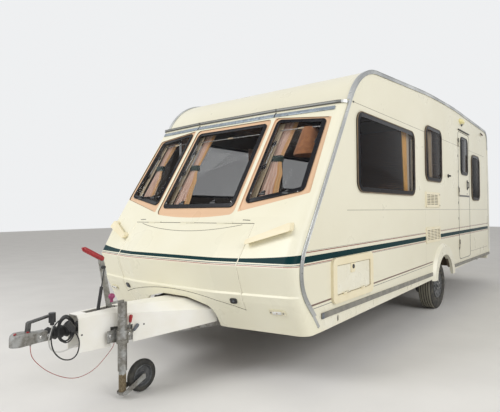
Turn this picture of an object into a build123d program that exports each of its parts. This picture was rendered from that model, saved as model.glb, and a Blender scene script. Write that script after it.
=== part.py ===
from build123d import *
import os
from math import atan2, cos, degrees, radians, sin, sqrt, tan

os.makedirs("parts", exist_ok=True)

# Travel caravan with one axle, millimetres
# Front is -Y, the door side is +X, up is +Z, and Z = 0 is the road
# Most places along the body are stations, measured back from the gutter over the front windows

# Overall sizes
overall_length = 7270.0
body_width = 2250.0
roof_crest_z = 2650.0
nose_to_gutter = 2015.0
gutter_z = 2112.0
road_wheel_radius = 295.0

# Wall thicknesses and clearances
wall_thickness = 30.0
roof_thickness = 35.0
front_thickness = 22.0
floor_thickness = 45.0
door_gap = 5.0
lid_gap = 4.0
running_gap = 0.3
bearing_gap = 0.05

# Leaf hinges lying on a surface
# Columns: knuckle radius, height of the pivot over the surface, leaf thickness, leaf width
door_hinge = (5.0, 8.0, 4.0, 25.0)
lid_hinge = (3.0, 3.6, 1.5, 16.0)
leaf_sink = 1.0
door_hinge_places = (700.0, 1430.0, 2130.0)
door_knuckle = 60.0
lid_hinge_places = (-420.0, 0.0, 420.0)
lid_knuckle = 80.0

# Heights of the shell
shell_foot_z = 372.0
wall_foot_z = 490.0
floor_under_z = 500.0
floor_top_z = floor_under_z + floor_thickness

# Places that follow from them
nose_y = -overall_length / 2
rear_y = overall_length / 2
half_width = body_width / 2
wall_in = half_width - wall_thickness
gutter_y = nose_y + nose_to_gutter
rear_bumper_depth = 25.0
body_rear_y = rear_y - rear_bumper_depth
rear_panel_y = body_rear_y - 210.0
sides = {"left": 1, "right": -1}


def station(distance):
    return gutter_y + distance


# Side view of the body, from the foot of the front rail over the roof to the rear foot
front_foot = (station(-415), shell_foot_z)
rear_foot = (body_rear_y, wall_foot_z - 10)
# columns: y, z, radius of the bend
profile_bends = [
    (station(-760), 779, 335),
    (station(256), 2477, 640),
    (station(2520), roof_crest_z, 20000),
    (body_rear_y - 52, roof_crest_z - 62, 190),
    (body_rear_y + 2, roof_crest_z - 950, 3000),
]

# Plan of the front panel at several heights, as distances from the gutter line
# columns: height, depth at the side rails' corner, depth across the centre
front_levels = [
    (shell_foot_z, -600, -700),
    (600, -712, -825),
    (652, -731, -847),
    (666, -722, -836),
    (860, -775, -905),
    (1110, -650, -705),
    (1200, -592, -641),
    (gutter_z, -20, -72),
]
lid_hinge_levels = front_levels[-3:-1]
front_facet_x = 478.0
front_corner_radius = 85.0
front_facet_radius = 30.0
front_back_y = station(420)

# Side windows, columns: side, first station, last station, sill z, head z, corner radius
side_windows = [
    ("left", 180, 1510, 1411, 2065, 80),
    ("left", 1900, 2488, 1595, 2212, 90),
    ("left", 4045, 4535, 1400, 2080, 110),
    ("right", 180, 1510, 1411, 2065, 80),
    ("right", 2150, 3050, 1560, 2065, 80),
]
window_lap = 14.0
window_proud = 12.0
rear_window = (760.0, 520.0, 1480.0, 70.0)  # width, height, sill z, corner radius

# Front windows and the recess round them, as corners (x, z) of the window on one side
centre_pane = (425.0, 1278.0, 2003.0)  # half width, sill z, head z
centre_recess = (462.0, 1222.0, 2040.0)
side_pane = [(530, 1302), (half_width - 103, 1392), (half_width - 121, 1978), (528, 2024)]
side_recess = [(497, 1240), (half_width - 47, 1372), (half_width - 79, 1992), (497, 2046)]
pane_corner_radius = 38.0
recess_depth = 10.0
pane_thickness = 6.0

# Entrance door
door_first = 3305.0
door_last = 3918.0
door_foot_z = 545.0
door_head_z = 2357.0
door_corner = 62.0
door_window = (3442.0, 3795.0, 1762.0, 2275.0, 62.0)  # stations, sill z, head z, corner radius

# Side locker flap behind a moulded frame
locker_first = -276.0
locker_last = 420.0
locker_foot_z = 542.0
locker_head_z = 884.0
locker_frame_width = 58.0
locker_frame_proud = 22.0
locker_corner = 48.0

# Gas locker lid in the front panel, hinged along its top edge
lid_half_width = half_width * 28 / 45
lid_foot_z = 540.0
lid_arch_z = 640.0
lid_top_z = 1150.0
drawbar_arch_half = 402.0
drawbar_arch_z = 585.0

# Wheels and axle
axle_y = station(2525)
wheel_x = half_width - 147.0
tyre_width = 175.0
rim_radius = 165.0
arch_radius = road_wheel_radius + 35.0
arch_centre_z = road_wheel_radius + 55.0
spat_radius = arch_radius + 110.0
spat_proud = 35.0
spat_taper = 38.0
spat_foot_z = 402.0

# Chassis
rail_x = 565.0
rail_height = 145.0
rail_flange = 45.0
rail_sheet = 6.0
rail_top_z = floor_under_z
a_frame_x = 46.0
a_frame_y = station(-1440)
a_frame_bend_y = station(40)
rail_rear_y = body_rear_y - 330.0
rail_hole_length = 210.0
rail_hole_height = 80.0
rail_hole_pitch = 640.0
rail_hole_margin = 230.0
beam_y = axle_y - 150.0
beam_z = rail_top_z - rail_height - 50.0

# Coupling and drawbar
head_half_width = 46.0
head_length = 200.0
head_foot_z = 465.0
head_height = 72.0
ball_radius = 25.0
ball_play = 0.4
shaft_radius = 25.0
shaft_z = 497.0
fairing_front_y = nose_y + 375.0
fairing_sheet = 5.0

# Handbrake lever and its strut
lever_pivot = (station(-1375), 545.0)
lever_length = 395.0
lever_tilt = 100.7
strut_foot = (station(-1490), 556.0)
strut_eye_reach = 330.0
strut_x = 28.0

# Jockey wheel, on the left of the drawbar
jockey_x = 156.0
jockey_y = station(-1385)
jockey_tube_radius = 30.0
jockey_inner_radius = 24.0
jockey_wheel_radius = 110.0
jockey_wheel_width = 50.0
jockey_trail = 151.0


def save(solid, name):
    solid.label = name
    export_step(solid, f"parts/{name}.step")


def block(x_range, y_range, z_range, mode=Mode.ADD):
    middle = tuple(sum(pair) / 2 for pair in (x_range, y_range, z_range))
    with Locations(middle):
        Box(*(pair[1] - pair[0] for pair in (x_range, y_range, z_range)), mode=mode)


def span(side, near, far):
    # Range along X on one side, given distances from the centre line
    return tuple(sorted((sides[side] * near, sides[side] * far)))


def body_profile(x, grow=0.0):
    with BuildSketch(Plane.YZ.offset(x)) as profile:
        with BuildLine():
            corners = [(y, z) for y, z, _ in profile_bends]
            FilletPolyline(front_foot, *corners, rear_foot, radius=[row[2] for row in profile_bends])
            Line(rear_foot, front_foot)
        make_face()
        if grow:
            offset(amount=grow, kind=Kind.INTERSECTION)
    return profile.sketch


def body_band(thickness, half):
    # Skin of the body between two planes across it
    with BuildPart() as band:
        extrude(body_profile(-half), amount=2 * half)
        extrude(body_profile(-half - 1, -thickness), amount=2 * half + 2, mode=Mode.SUBTRACT)
    return band.part


def front_plan(level, inset=0.0):
    # Plan of the front panel at one level, moved in by the inset
    height, corner, centre = level
    x = half_width - inset
    side_y = station(corner) + inset
    centre_y = station(centre) + inset
    corner_radius = front_corner_radius - inset
    with BuildSketch(Plane.XY.offset(height)) as plan:
        with BuildLine():
            FilletPolyline(
                (x, front_back_y), (x, side_y), (front_facet_x, centre_y),
                (-front_facet_x, centre_y), (-x, side_y), (-x, front_back_y),
                radius=[corner_radius, front_facet_radius, front_facet_radius, corner_radius],
            )
            Line((-x, front_back_y), (x, front_back_y))
        make_face()
    return plan.sketch


def front_form(inset=0.0):
    # Solid whose outside is the front panel's surface, moved in by the inset
    with BuildPart() as form:
        loft([front_plan(level, inset).face() for level in front_levels], ruled=True)
    return form.part


def front_prism(*outlines):
    # Straight cut through the front panel from ahead, for outlines drawn in the front view
    with BuildPart() as prism:
        for outline in outlines:
            extrude(outline, amount=1500)
    return prism.part


front_view = Plane(origin=(0, front_back_y, 0), x_dir=(1, 0, 0), z_dir=(0, -1, 0))


def pane_outline(half, sill, head, grow=0.0, radius=pane_corner_radius):
    with BuildSketch(front_view) as outline:
        with Locations((0, (sill + head) / 2)):
            RectangleRounded(2 * half + 2 * grow, head - sill + 2 * grow, radius + grow)
    return outline.sketch


def side_pane_outline(corners, side, grow=0.0, radius=pane_corner_radius):
    with BuildSketch(front_view) as outline:
        with BuildLine():
            points = [(sides[side] * x, z) for x, z in corners]
            FilletPolyline(*points, radius=radius, close=True)
        make_face()
        if grow:
            offset(amount=grow, kind=Kind.INTERSECTION)
    return outline.sketch


def lid_outline(grow=0.0):
    with BuildSketch(front_view) as outline:
        with BuildLine():
            ThreePointArc((-lid_half_width, lid_foot_z), (0, lid_arch_z), (lid_half_width, lid_foot_z))
            Polyline(
                (lid_half_width, lid_foot_z), (lid_half_width, lid_top_z),
                (-lid_half_width, lid_top_z), (-lid_half_width, lid_foot_z),
            )
        make_face()
        if grow:
            offset(amount=grow, kind=Kind.INTERSECTION)
    return outline.sketch


def arch_cut(x, radius):
    with BuildSketch(Plane.YZ.offset(x)) as arch:
        with Locations((axle_y, arch_centre_z)):
            Circle(radius)
        with Locations((axle_y, arch_centre_z / 2)):
            Rectangle(2 * radius, arch_centre_z)
    return arch.sketch


def opening(x, first, last, low, high, corner, grow=0.0):
    with BuildSketch(Plane.YZ.offset(x)) as shape:
        with Locations(((station(first) + station(last)) / 2, (low + high) / 2)):
            RectangleRounded(last - first + 2 * grow, high - low + 2 * grow, max(corner + grow, 12))
    return shape.sketch


def hinge_half(plane, pivot, tilt, side, sizes, length):
    # Knuckle on the pivot with a leaf let into the surface, to one side of it
    knuckle, rise, leaf, width = sizes
    with BuildPart() as half:
        with BuildSketch(plane):
            with Locations(Location(pivot, tilt)):
                Circle(knuckle)
                with Locations((side * width / 2, (leaf - leaf_sink) / 2 - rise)):
                    Rectangle(width, leaf + leaf_sink)
        extrude(amount=length)
    return half.part


def door_hinges(side, shift):
    with BuildPart() as halves:
        for low_z in door_hinge_places:
            pivot = (half_width + door_hinge[1], station(door_first) + door_gap / 2)
            add(hinge_half(Plane.XY.offset(low_z + shift), pivot, -90, side, door_hinge, door_knuckle))
    return halves.part


def lid_hinges(side, shift):
    low, high = lid_hinge_levels
    tilt = atan2(high[0] - low[0], high[2] - low[2])
    edge_z = lid_top_z + lid_gap / 2
    edge_y = station(low[2] + (edge_z - low[0]) / tan(tilt))
    rise = lid_hinge[1]
    pivot = (edge_y - rise * sin(tilt), edge_z + rise * cos(tilt))
    with BuildPart() as halves:
        for low_x in lid_hinge_places:
            add(hinge_half(Plane.YZ.offset(low_x + shift), pivot, degrees(tilt), side, lid_hinge, lid_knuckle))
    return halves.part


# Side walls, with windows, wheel arches, the doorway and the locker's hole
def side_wall(side):
    low_x, high_x = span(side, wall_in, half_width)
    with BuildPart() as wall:
        extrude(body_profile(low_x), amount=wall_thickness)
        block((low_x, high_x), (nose_y, rear_y), (0, wall_foot_z), Mode.SUBTRACT)
        extrude(arch_cut(low_x, arch_radius), amount=wall_thickness, mode=Mode.SUBTRACT)
        for window_side, first, last, sill, head, corner in side_windows:
            if window_side == side:
                extrude(opening(low_x, first, last, sill, head, corner),
                        amount=wall_thickness, mode=Mode.SUBTRACT)
        if side == "left":
            extrude(opening(low_x, door_first, door_last, door_foot_z, door_head_z, door_corner),
                    amount=wall_thickness, mode=Mode.SUBTRACT)
            extrude(opening(low_x, locker_first, locker_last, locker_foot_z, locker_head_z,
                            locker_corner, -locker_frame_width / 2),
                    amount=wall_thickness, mode=Mode.SUBTRACT)
            add(door_hinges(1, 0))
    return wall.part


for side in sides:
    save(side_wall(side), f"side_wall_{side}")

# Roof and rear panel between the side walls
with BuildPart() as roof_panel:
    add(body_band(roof_thickness, wall_in))
    block((-wall_in, wall_in), (nose_y, rear_panel_y), (gutter_z, roof_crest_z + 100), Mode.INTERSECT)
save(roof_panel.part, "roof_panel")

with BuildPart() as rear_panel:
    add(body_band(roof_thickness, wall_in))
    block((-wall_in, wall_in), (rear_panel_y, rear_y), (floor_under_z, roof_crest_z + 100), Mode.INTERSECT)
    block((-wall_in, wall_in), (rear_panel_y, body_rear_y - roof_thickness), (0, floor_top_z), Mode.SUBTRACT)
    window_width, window_height, window_sill, window_corner = rear_window
    with BuildSketch(Plane.XZ.offset(-rear_y)):
        with Locations((0, window_sill + window_height / 2)):
            RectangleRounded(window_width, window_height, window_corner)
    extrude(amount=rear_y - rear_panel_y, mode=Mode.SUBTRACT)
save(rear_panel.part, "rear_panel")

# Moulded front panel with its window recess, and the lid cut out of it
outer_form = front_form()
clear_form = front_form(-running_gap)
inner_form = front_form(front_thickness)
recess_form = front_form(recess_depth)
with BuildPart() as body_prism:
    extrude(body_profile(-half_width - 1, running_gap), amount=body_width + 2)
recesses = [pane_outline(*centre_recess)] + [side_pane_outline(side_recess, side) for side in sides]
with BuildPart() as recess_cut:
    add(front_prism(*recesses))
    add(recess_form, mode=Mode.SUBTRACT)
holes = [pane_outline(*centre_pane, grow=-18)]
holes += [side_pane_outline(side_pane, side, grow=-18) for side in sides]

with BuildPart() as front_panel:
    add(outer_form)
    add(recess_cut.part, mode=Mode.SUBTRACT)
    add(inner_form, mode=Mode.SUBTRACT)
    add(body_prism.part, mode=Mode.SUBTRACT)
    block((-half_width, half_width), (front_foot[0], front_back_y), (0, floor_top_z), Mode.SUBTRACT)
    add(front_prism(*holes), mode=Mode.SUBTRACT)
    add(front_prism(lid_outline(lid_gap)), mode=Mode.SUBTRACT)
    with BuildSketch(front_view):
        with BuildLine():
            shoulder_z = drawbar_arch_z - 60
            FilletPolyline(
                (-drawbar_arch_half, 0), (-drawbar_arch_half, shoulder_z), (-150, drawbar_arch_z),
                (150, drawbar_arch_z), (drawbar_arch_half, shoulder_z), (drawbar_arch_half, 0),
                radius=[90, 250, 250, 90],
            )
            Line((drawbar_arch_half, 0), (-drawbar_arch_half, 0))
        make_face()
    extrude(amount=1500, mode=Mode.SUBTRACT)
    add(lid_hinges(1, 0))
save(front_panel.part, "front_panel")

with BuildPart() as gas_locker_lid:
    add(outer_form)
    add(inner_form, mode=Mode.SUBTRACT)
    add(front_prism(lid_outline()), mode=Mode.INTERSECT)
    add(lid_hinges(-1, -lid_knuckle - running_gap))
save(gas_locker_lid.part, "gas_locker_lid")

with BuildPart() as front_windows:
    add(front_form(recess_depth - pane_thickness))
    add(front_form(recess_depth - running_gap), mode=Mode.SUBTRACT)
    panes = [pane_outline(*centre_pane)] + [side_pane_outline(side_pane, side) for side in sides]
    add(front_prism(*panes), mode=Mode.INTERSECT)
save(front_windows.part, "front_windows")

# Floor, open over the wheels, with a box over each
wheel_well = (wheel_x - tyre_width / 2 - 50, arch_radius + 25)  # inner x, half length
wheel_box_top_z = 2 * road_wheel_radius + 110
wheel_box_board = 12.0


def wheel_box(side):
    inner, half_long = wheel_well
    inside_y = (axle_y - half_long + wheel_box_board, axle_y + half_long - wheel_box_board)
    with BuildPart() as box:
        block(span(side, inner, wall_in), (axle_y - half_long, axle_y + half_long),
              (floor_under_z, wheel_box_top_z))
        block(span(side, inner + wheel_box_board, wall_in), inside_y,
              (floor_under_z, wheel_box_top_z - wheel_box_board), Mode.SUBTRACT)
    return box.part


with BuildPart() as floor_panel:
    block((-wall_in, wall_in), (station(-440), body_rear_y - roof_thickness), (floor_under_z, floor_top_z))
    for side in sides:
        block(span(side, wheel_well[0], wall_in), (axle_y - wheel_well[1], axle_y + wheel_well[1]),
              (floor_under_z, floor_top_z), Mode.SUBTRACT)
    for side in sides:
        add(wheel_box(side))
save(floor_panel.part, "floor_panel")

# Skirts under the side walls, their strips and the wheel arch spats
skirt_sheet = 8.0
skirt_hole = (-176.0, 423.0, 46.0, 26.0)  # oval hole for the steady's handle: station, z, height, width


def skirt(side):
    low_x, high_x = span(side, half_width - skirt_sheet, half_width)
    hole_station, hole_z, hole_height, hole_width = skirt_hole
    with BuildPart() as sheet:
        extrude(body_profile(low_x), amount=skirt_sheet)
        block((low_x, high_x), (nose_y, rear_y), (wall_foot_z, roof_crest_z + 100), Mode.SUBTRACT)
        extrude(arch_cut(low_x, arch_radius), amount=skirt_sheet, mode=Mode.SUBTRACT)
        with BuildSketch(Plane.YZ.offset(low_x)):
            with Locations(Location((station(hole_station), hole_z), 90)):
                SlotOverall(hole_height, hole_width)
        extrude(amount=skirt_sheet, mode=Mode.SUBTRACT)
    return sheet.part


with BuildPart() as side_skirts:
    for side in sides:
        add(skirt(side))
save(side_skirts.part, "side_skirts")

strip_low_z = wall_foot_z - 25
strip_high_z = wall_foot_z + 15
with BuildPart() as bumper_strips:
    for side in sides:
        strip_x = span(side, half_width, half_width + 12)
        block(strip_x, (station(-425), axle_y - spat_radius), (strip_low_z, strip_high_z))
        block(strip_x, (axle_y + spat_radius, body_rear_y - 25), (strip_low_z, strip_high_z))
save(bumper_strips.part, "bumper_strips")


def spat(side):
    # Arch moulding that tapers from the wall to a narrower outer face
    wall_plane = Plane(origin=(sides[side] * half_width, 0, 0), x_dir=(0, sides[side], 0), z_dir=(sides[side], 0, 0))
    across_y = sides[side] * axle_y
    low_x = span(side, half_width, half_width + spat_proud)[0]
    with BuildPart() as moulding:
        with BuildSketch(wall_plane):
            with Locations((across_y, arch_centre_z + 30)):
                Circle(spat_radius)
        extrude(amount=spat_proud, taper=spat_taper)
        block(span(side, half_width, half_width + spat_proud), (axle_y - spat_radius, axle_y + spat_radius),
              (-spat_radius, spat_foot_z), Mode.SUBTRACT)
        extrude(arch_cut(low_x, arch_radius), amount=spat_proud, mode=Mode.SUBTRACT)
    return moulding.part


with BuildPart() as wheel_arch_spats:
    for side in sides:
        add(spat(side))
save(wheel_arch_spats.part, "wheel_arch_spats")

# Awning rails along the roof's edges, and the gutter bar across the head of the front windows
rail_proud = 8.0
rail_thickness = 6.0
rail_flange_width = 24.0
rail_reach = 24.0
lip_foot_z = gutter_z + 40
gutter_proud = 12.0
gutter_height = 22.0


def rail_flange_band(side):
    low_x, high_x = span(side, half_width, half_width + rail_thickness)
    with BuildPart() as flange:
        extrude(body_profile(low_x, rail_proud), amount=rail_thickness)
        extrude(body_profile(low_x, -rail_flange_width), amount=rail_thickness, mode=Mode.SUBTRACT)
        block((low_x, high_x), (nose_y, rear_y), (0, strip_high_z), Mode.SUBTRACT)
    return flange.part


def rail_lip(side):
    low_x, high_x = span(side, half_width - rail_reach, half_width)
    with BuildPart() as lip:
        extrude(body_profile(low_x, rail_proud), amount=rail_reach)
        extrude(body_profile(low_x), amount=rail_reach, mode=Mode.SUBTRACT)
        block((low_x, high_x), (nose_y, rear_y), (0, lip_foot_z), Mode.SUBTRACT)
    return lip.part


def gutter_bar():
    # Follows the head of the front panel round its corners
    gutter_half = half_width - running_gap
    with BuildPart() as bar:
        extrude(front_plan(front_levels[-1], -gutter_proud), amount=gutter_height)
        add(body_prism.part, mode=Mode.SUBTRACT)
        block((-gutter_half, gutter_half), (nose_y, station(60)), (gutter_z, gutter_z + gutter_height),
              Mode.INTERSECT)
    return bar.part


with BuildPart() as awning_rails:
    for side in sides:
        add(rail_flange_band(side))
        add(rail_lip(side))
    add(gutter_bar())
save(awning_rails.part, "awning_rails")

# Side windows lap over the wall round their openings
with BuildPart() as body_windows:
    for window_side, first, last, sill, head, corner in side_windows:
        low_x, high_x = span(window_side, half_width, half_width + window_proud)
        extrude(opening(low_x, first, last, sill, head, corner, window_lap), amount=window_proud)
    with BuildSketch(Plane.XZ.offset(-body_rear_y - 2)):
        with Locations((0, window_sill + window_height / 2)):
            RectangleRounded(window_width + 2 * window_lap, window_height + 2 * window_lap, window_corner)
    extrude(amount=-window_proud)
save(body_windows.part, "body_windows")

# Entrance door, its window and its handle
with BuildPart() as entrance_door:
    extrude(opening(wall_in, door_first, door_last, door_foot_z, door_head_z, door_corner, -door_gap),
            amount=wall_thickness)
    extrude(opening(wall_in, *door_window), amount=wall_thickness, mode=Mode.SUBTRACT)
    add(door_hinges(-1, door_knuckle + running_gap))
save(entrance_door.part, "entrance_door")

with BuildPart() as door_window_pane:
    extrude(opening(half_width, *door_window, window_lap), amount=8)
save(door_window_pane.part, "door_window")

handle_station = 3782.0
handle_plate = (35.0, 150.0, 1605.0, 8.0)  # width, height, middle z, thickness
handle_grip = (22.0, 112.0, 24.0, 14.0)  # width, height, reach off the plate, finger space
with BuildPart() as door_handle:
    plate_width, plate_height, handle_z, plate_thickness = handle_plate
    grip_width, grip_height, grip_reach, finger_space = handle_grip
    with BuildSketch(Plane.YZ.offset(half_width)):
        with Locations((station(handle_station), handle_z)):
            RectangleRounded(plate_width, plate_height, plate_width / 2 - 1)
    extrude(amount=plate_thickness)
    # Pull grip in side view, bridging over the finger space
    grip_x = half_width + plate_thickness
    with BuildSketch(Plane(origin=(0, station(handle_station) + grip_width / 2, 0), x_dir=(1, 0, 0), z_dir=(0, -1, 0))):
        with BuildLine():
            low_z, high_z = handle_z - grip_height / 2, handle_z + grip_height / 2
            Polyline((grip_x, low_z), (grip_x + grip_reach, low_z + 22), (grip_x + grip_reach, high_z - 22),
                     (grip_x, high_z), (grip_x, high_z - 14), (grip_x + finger_space, high_z - 30),
                     (grip_x + finger_space, low_z + 30), (grip_x, low_z + 14), close=True)
        make_face()
    extrude(amount=grip_width)
save(door_handle.part, "door_handle")

# Locker frame and flap
flap_pivot = (half_width + locker_frame_proud + 6, locker_foot_z + locker_frame_width + 6)
flap_knuckle_radius = 5.0
flap_knuckle = 50.0
flap_knuckles = (station(-130), station(180))
with BuildPart() as locker_frame:
    extrude(opening(half_width, locker_first, locker_last, locker_foot_z, locker_head_z, locker_corner),
            amount=locker_frame_proud)
    extrude(opening(half_width, locker_first, locker_last, locker_foot_z, locker_head_z, locker_corner,
                    -locker_frame_width),
            amount=locker_frame_proud, mode=Mode.SUBTRACT)
    for knuckle_y in flap_knuckles:
        block((half_width + locker_frame_proud - 1, flap_pivot[0]), (knuckle_y, knuckle_y + flap_knuckle),
              (flap_pivot[1] - flap_knuckle_radius - 8, flap_pivot[1]))
        with Locations(Location((flap_pivot[0], knuckle_y, flap_pivot[1]), (-90, 0, 0))):
            Cylinder(flap_knuckle_radius, flap_knuckle, align=(Align.CENTER, Align.CENTER, Align.MIN))
save(locker_frame.part, "locker_frame")

locker_flap_thickness = 22.0
with BuildPart() as locker_flap:
    for knuckle_y in flap_knuckles:
        near_y = knuckle_y + flap_knuckle + running_gap
        block((half_width + locker_flap_thickness - 9, flap_pivot[0]), (near_y, near_y + flap_knuckle),
              (flap_pivot[1] - 3, flap_pivot[1] + 5))
        with Locations(Location((flap_pivot[0], near_y, flap_pivot[1]), (-90, 0, 0))):
            Cylinder(flap_knuckle_radius, flap_knuckle, align=(Align.CENTER, Align.CENTER, Align.MIN))
    extrude(opening(half_width - 8, locker_first, locker_last, locker_foot_z, locker_head_z,
                    locker_corner, -locker_frame_width - 4),
            amount=locker_flap_thickness)
save(locker_flap.part, "locker_flap")

# Fridge vents: moulded grilles with rows of sloped louvres between upright ribs
vent_thickness = 14.0
vent_stations = (1885.0, 2400.0)
vent_border = 24.0
vent_rib = 16.0
louvre_pitch = 18.0
louvre_gap = 9.0
louvre_depth = 10.0
louvre_fall = 6.0
vent_foot_z = road_wheel_radius + spat_radius + 123
# Columns: low z, high z, width kept plain at the rear for its catches, columns of louvres
vent_grilles = [
    (1270.0, 1452.0, 70.0, 3),
    (vent_foot_z, vent_foot_z + 180, 0.0, 4),
]


def vent_grille(low_z, high_z, plain_width, columns):
    first = station(vent_stations[0]) + vent_border
    last = station(vent_stations[1]) - vent_border - plain_width
    slot_width = (last - first - (columns - 1) * vent_rib) / columns
    rows = int((high_z - low_z - 2 * vent_border + louvre_pitch - louvre_gap) // louvre_pitch)
    first_z = (low_z + high_z) / 2 - ((rows - 1) * louvre_pitch + louvre_gap) / 2
    face_x = half_width + vent_thickness
    with BuildPart() as grille:
        with BuildSketch(Plane.YZ.offset(half_width)):
            with Locations((sum(map(station, vent_stations)) / 2, (low_z + high_z) / 2)):
                RectangleRounded(vent_stations[1] - vent_stations[0], high_z - low_z, 12)
        extrude(amount=vent_thickness, taper=12)
        for column in range(columns):
            slot_y = first + column * (slot_width + vent_rib) + slot_width
            # Louvre gaps in section: they rise inwards from the face
            with BuildSketch(Plane(origin=(0, slot_y, 0), x_dir=(1, 0, 0), z_dir=(0, -1, 0))):
                for row in range(rows):
                    foot_z = first_z + row * louvre_pitch
                    with BuildLine():
                        Polyline((face_x + 1, foot_z), (face_x + 1, foot_z + louvre_gap),
                                 (face_x - louvre_depth, foot_z + louvre_gap + louvre_fall),
                                 (face_x - louvre_depth, foot_z + louvre_fall), close=True)
                    make_face()
            extrude(amount=slot_width, mode=Mode.SUBTRACT)
    return grille.part


with BuildPart() as fridge_vents:
    for grille in vent_grilles:
        add(vent_grille(*grille))
save(fridge_vents.part, "fridge_vents")

# Rear bumper and lamps
with BuildPart() as rear_bumper:
    block((-half_width + 30, half_width - 30), (body_rear_y - 60, rear_y), (shell_foot_z + 20, 620))
    add(body_prism.part, mode=Mode.SUBTRACT)
save(rear_bumper.part, "rear_bumper")


# Chassis rails, converging to the drawbar, with lightening holes in the webs
rail_slope = (rail_x - a_frame_x) / (a_frame_bend_y - a_frame_y)
with BuildPart() as left_rail:
    lead_in = 80.0
    start = (a_frame_x - lead_in * rail_slope, a_frame_y - lead_in, rail_top_z)
    with BuildLine() as rail_path:
        Polyline(start, (rail_x, a_frame_bend_y, rail_top_z), (rail_x, rail_rear_y, rail_top_z))
    with BuildSketch(Plane(origin=start, x_dir=(-1, rail_slope, 0), z_dir=(rail_slope, 1, 0))):
        with BuildLine():
            Polyline((0, 0), (rail_flange, 0), (rail_flange, -rail_sheet), (rail_sheet, -rail_sheet),
                     (rail_sheet, rail_sheet - rail_height), (rail_flange, rail_sheet - rail_height),
                     (rail_flange, -rail_height), (0, -rail_height), (0, 0))
        make_face()
    sweep(path=rail_path.line, transition=Transition.RIGHT)
    block((-rail_x, 0.5), (nose_y, a_frame_bend_y), (0, rail_top_z + 1), Mode.SUBTRACT)
    block((-rail_x, rail_x), (nose_y, a_frame_y), (0, rail_top_z + 1), Mode.SUBTRACT)
    with BuildSketch(Plane.YZ.offset(rail_x - 2 * rail_sheet)):
        hole_first = a_frame_bend_y + rail_hole_margin
        hole_count = int((rail_rear_y - rail_hole_margin - hole_first) // rail_hole_pitch) + 1
        for index in range(hole_count):
            hole_y = hole_first + index * rail_hole_pitch
            if abs(hole_y - beam_y) > rail_hole_length:
                with Locations((hole_y, rail_top_z - rail_height / 2)):
                    SlotOverall(rail_hole_length, rail_hole_height)
    extrude(amount=4 * rail_sheet, mode=Mode.SUBTRACT)
with BuildPart() as chassis_rails:
    add(left_rail.part)
    mirror(about=Plane.YZ)
save(chassis_rails.part, "chassis_rails")

# Cross members between the rails and outriggers that carry the corner steadies
steady_x = half_width - 225.0
steady_half = 33.0
steady_ear = 8.0
steady_pivots = {"front": station(170), "rear": body_rear_y - 560}
steady_pivot_z = 440.0
member_z = (rail_top_z - 60, rail_top_z)
with BuildPart() as chassis_cross_members:
    for place, direction in (("front", 1), ("rear", -1)):
        near_y = steady_pivots[place] + direction * 30
        member_y = tuple(sorted((near_y, near_y + direction * 50)))
        block((-rail_x + rail_flange, rail_x - rail_flange), member_y, member_z)
        for side in sides:
            block(span(side, rail_x, wall_in - 10), member_y, member_z)
            for ear in (-steady_half - running_gap - steady_ear, steady_half + running_gap):
                ear_x = span(side, steady_x + ear, steady_x + ear + steady_ear)
                ear_y = tuple(sorted((steady_pivots[place] - direction * 25, near_y)))
                block(ear_x, ear_y, (steady_pivot_z - 22, rail_top_z))
save(chassis_cross_members.part, "chassis_cross_members")

# Corner steadies folded up under the floor: a tapered channel leg with its foot
steady_length = 430.0
steady_droop = 8.0
steady_sheet = 4.0
steady_pivot_half = 18.0  # half depth of the channel at its pivot
steady_toe_half = 12.0  # and at its foot
steady_pin_radius = 8.0
steady_foot_radius = 13.0
steady_foot_length = 120.0


def corner_steady(place, side):
    direction = -1 if place == "front" else 1
    pivot_y = steady_pivots[place]
    middle_x = sides[side] * steady_x
    tilt = -direction * steady_droop
    toe = direction * (steady_length + 12)
    heel = -direction * steady_pivot_half
    inner_half = steady_half - steady_sheet
    with BuildPart() as steady:
        with BuildSketch(Plane.YZ.offset(middle_x - steady_half)):
            with BuildLine(Location((pivot_y, steady_pivot_z), tilt)):
                Polyline((heel, -steady_pivot_half), (toe, -steady_toe_half), (toe, steady_toe_half),
                         (0, steady_pivot_half), (heel, 0), close=True)
            make_face()
        extrude(amount=2 * steady_half)
        with BuildSketch(Plane.YZ.offset(middle_x - inner_half)):
            with BuildLine(Location((pivot_y, steady_pivot_z), tilt)):
                Polyline((2 * heel, steady_sheet - steady_pivot_half), (toe * 1.1, steady_sheet - steady_toe_half),
                         (toe * 1.1, 2 * steady_toe_half), (2 * heel, 2 * steady_pivot_half), close=True)
            make_face()
        extrude(amount=2 * inner_half, mode=Mode.SUBTRACT)
        with Locations(Location((middle_x, pivot_y, steady_pivot_z), (0, 90, 0))):
            Cylinder(steady_pin_radius, 2 * steady_half)
        foot_y = pivot_y + direction * steady_length * cos(radians(steady_droop))
        foot_z = steady_pivot_z - steady_length * sin(radians(steady_droop))
        with Locations(Location((middle_x, foot_y, foot_z), (0, 90, 0))):
            Cylinder(steady_foot_radius, steady_foot_length)
    return steady.part


for place in steady_pivots:
    for side in sides:
        save(corner_steady(place, side), f"corner_steady_{place}_{side}")

# Axle tube, trailing arms and stub axles
beam_radius = 46.0
arm_in = wheel_x - 236.0
arm_out = wheel_x - 196.0
arm_width = 84.0
saddle_half = 60.0
stub_radius = 17.0
hub_in = wheel_x - 178.0
hub_out = wheel_x - 16.0


def trailing_arm(side):
    low_x, high_x = span(side, arm_in, arm_out)
    fall = road_wheel_radius - beam_z
    reach = axle_y - beam_y
    with BuildPart() as arm:
        with BuildSketch(Plane.YZ.offset(low_x)):
            with Locations(Location((beam_y + reach / 2, beam_z + fall / 2), degrees(atan2(fall, reach)))):
                SlotCenterToCenter(sqrt(reach ** 2 + fall ** 2), arm_width)
        extrude(amount=arm_out - arm_in)
    return arm.part


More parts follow.
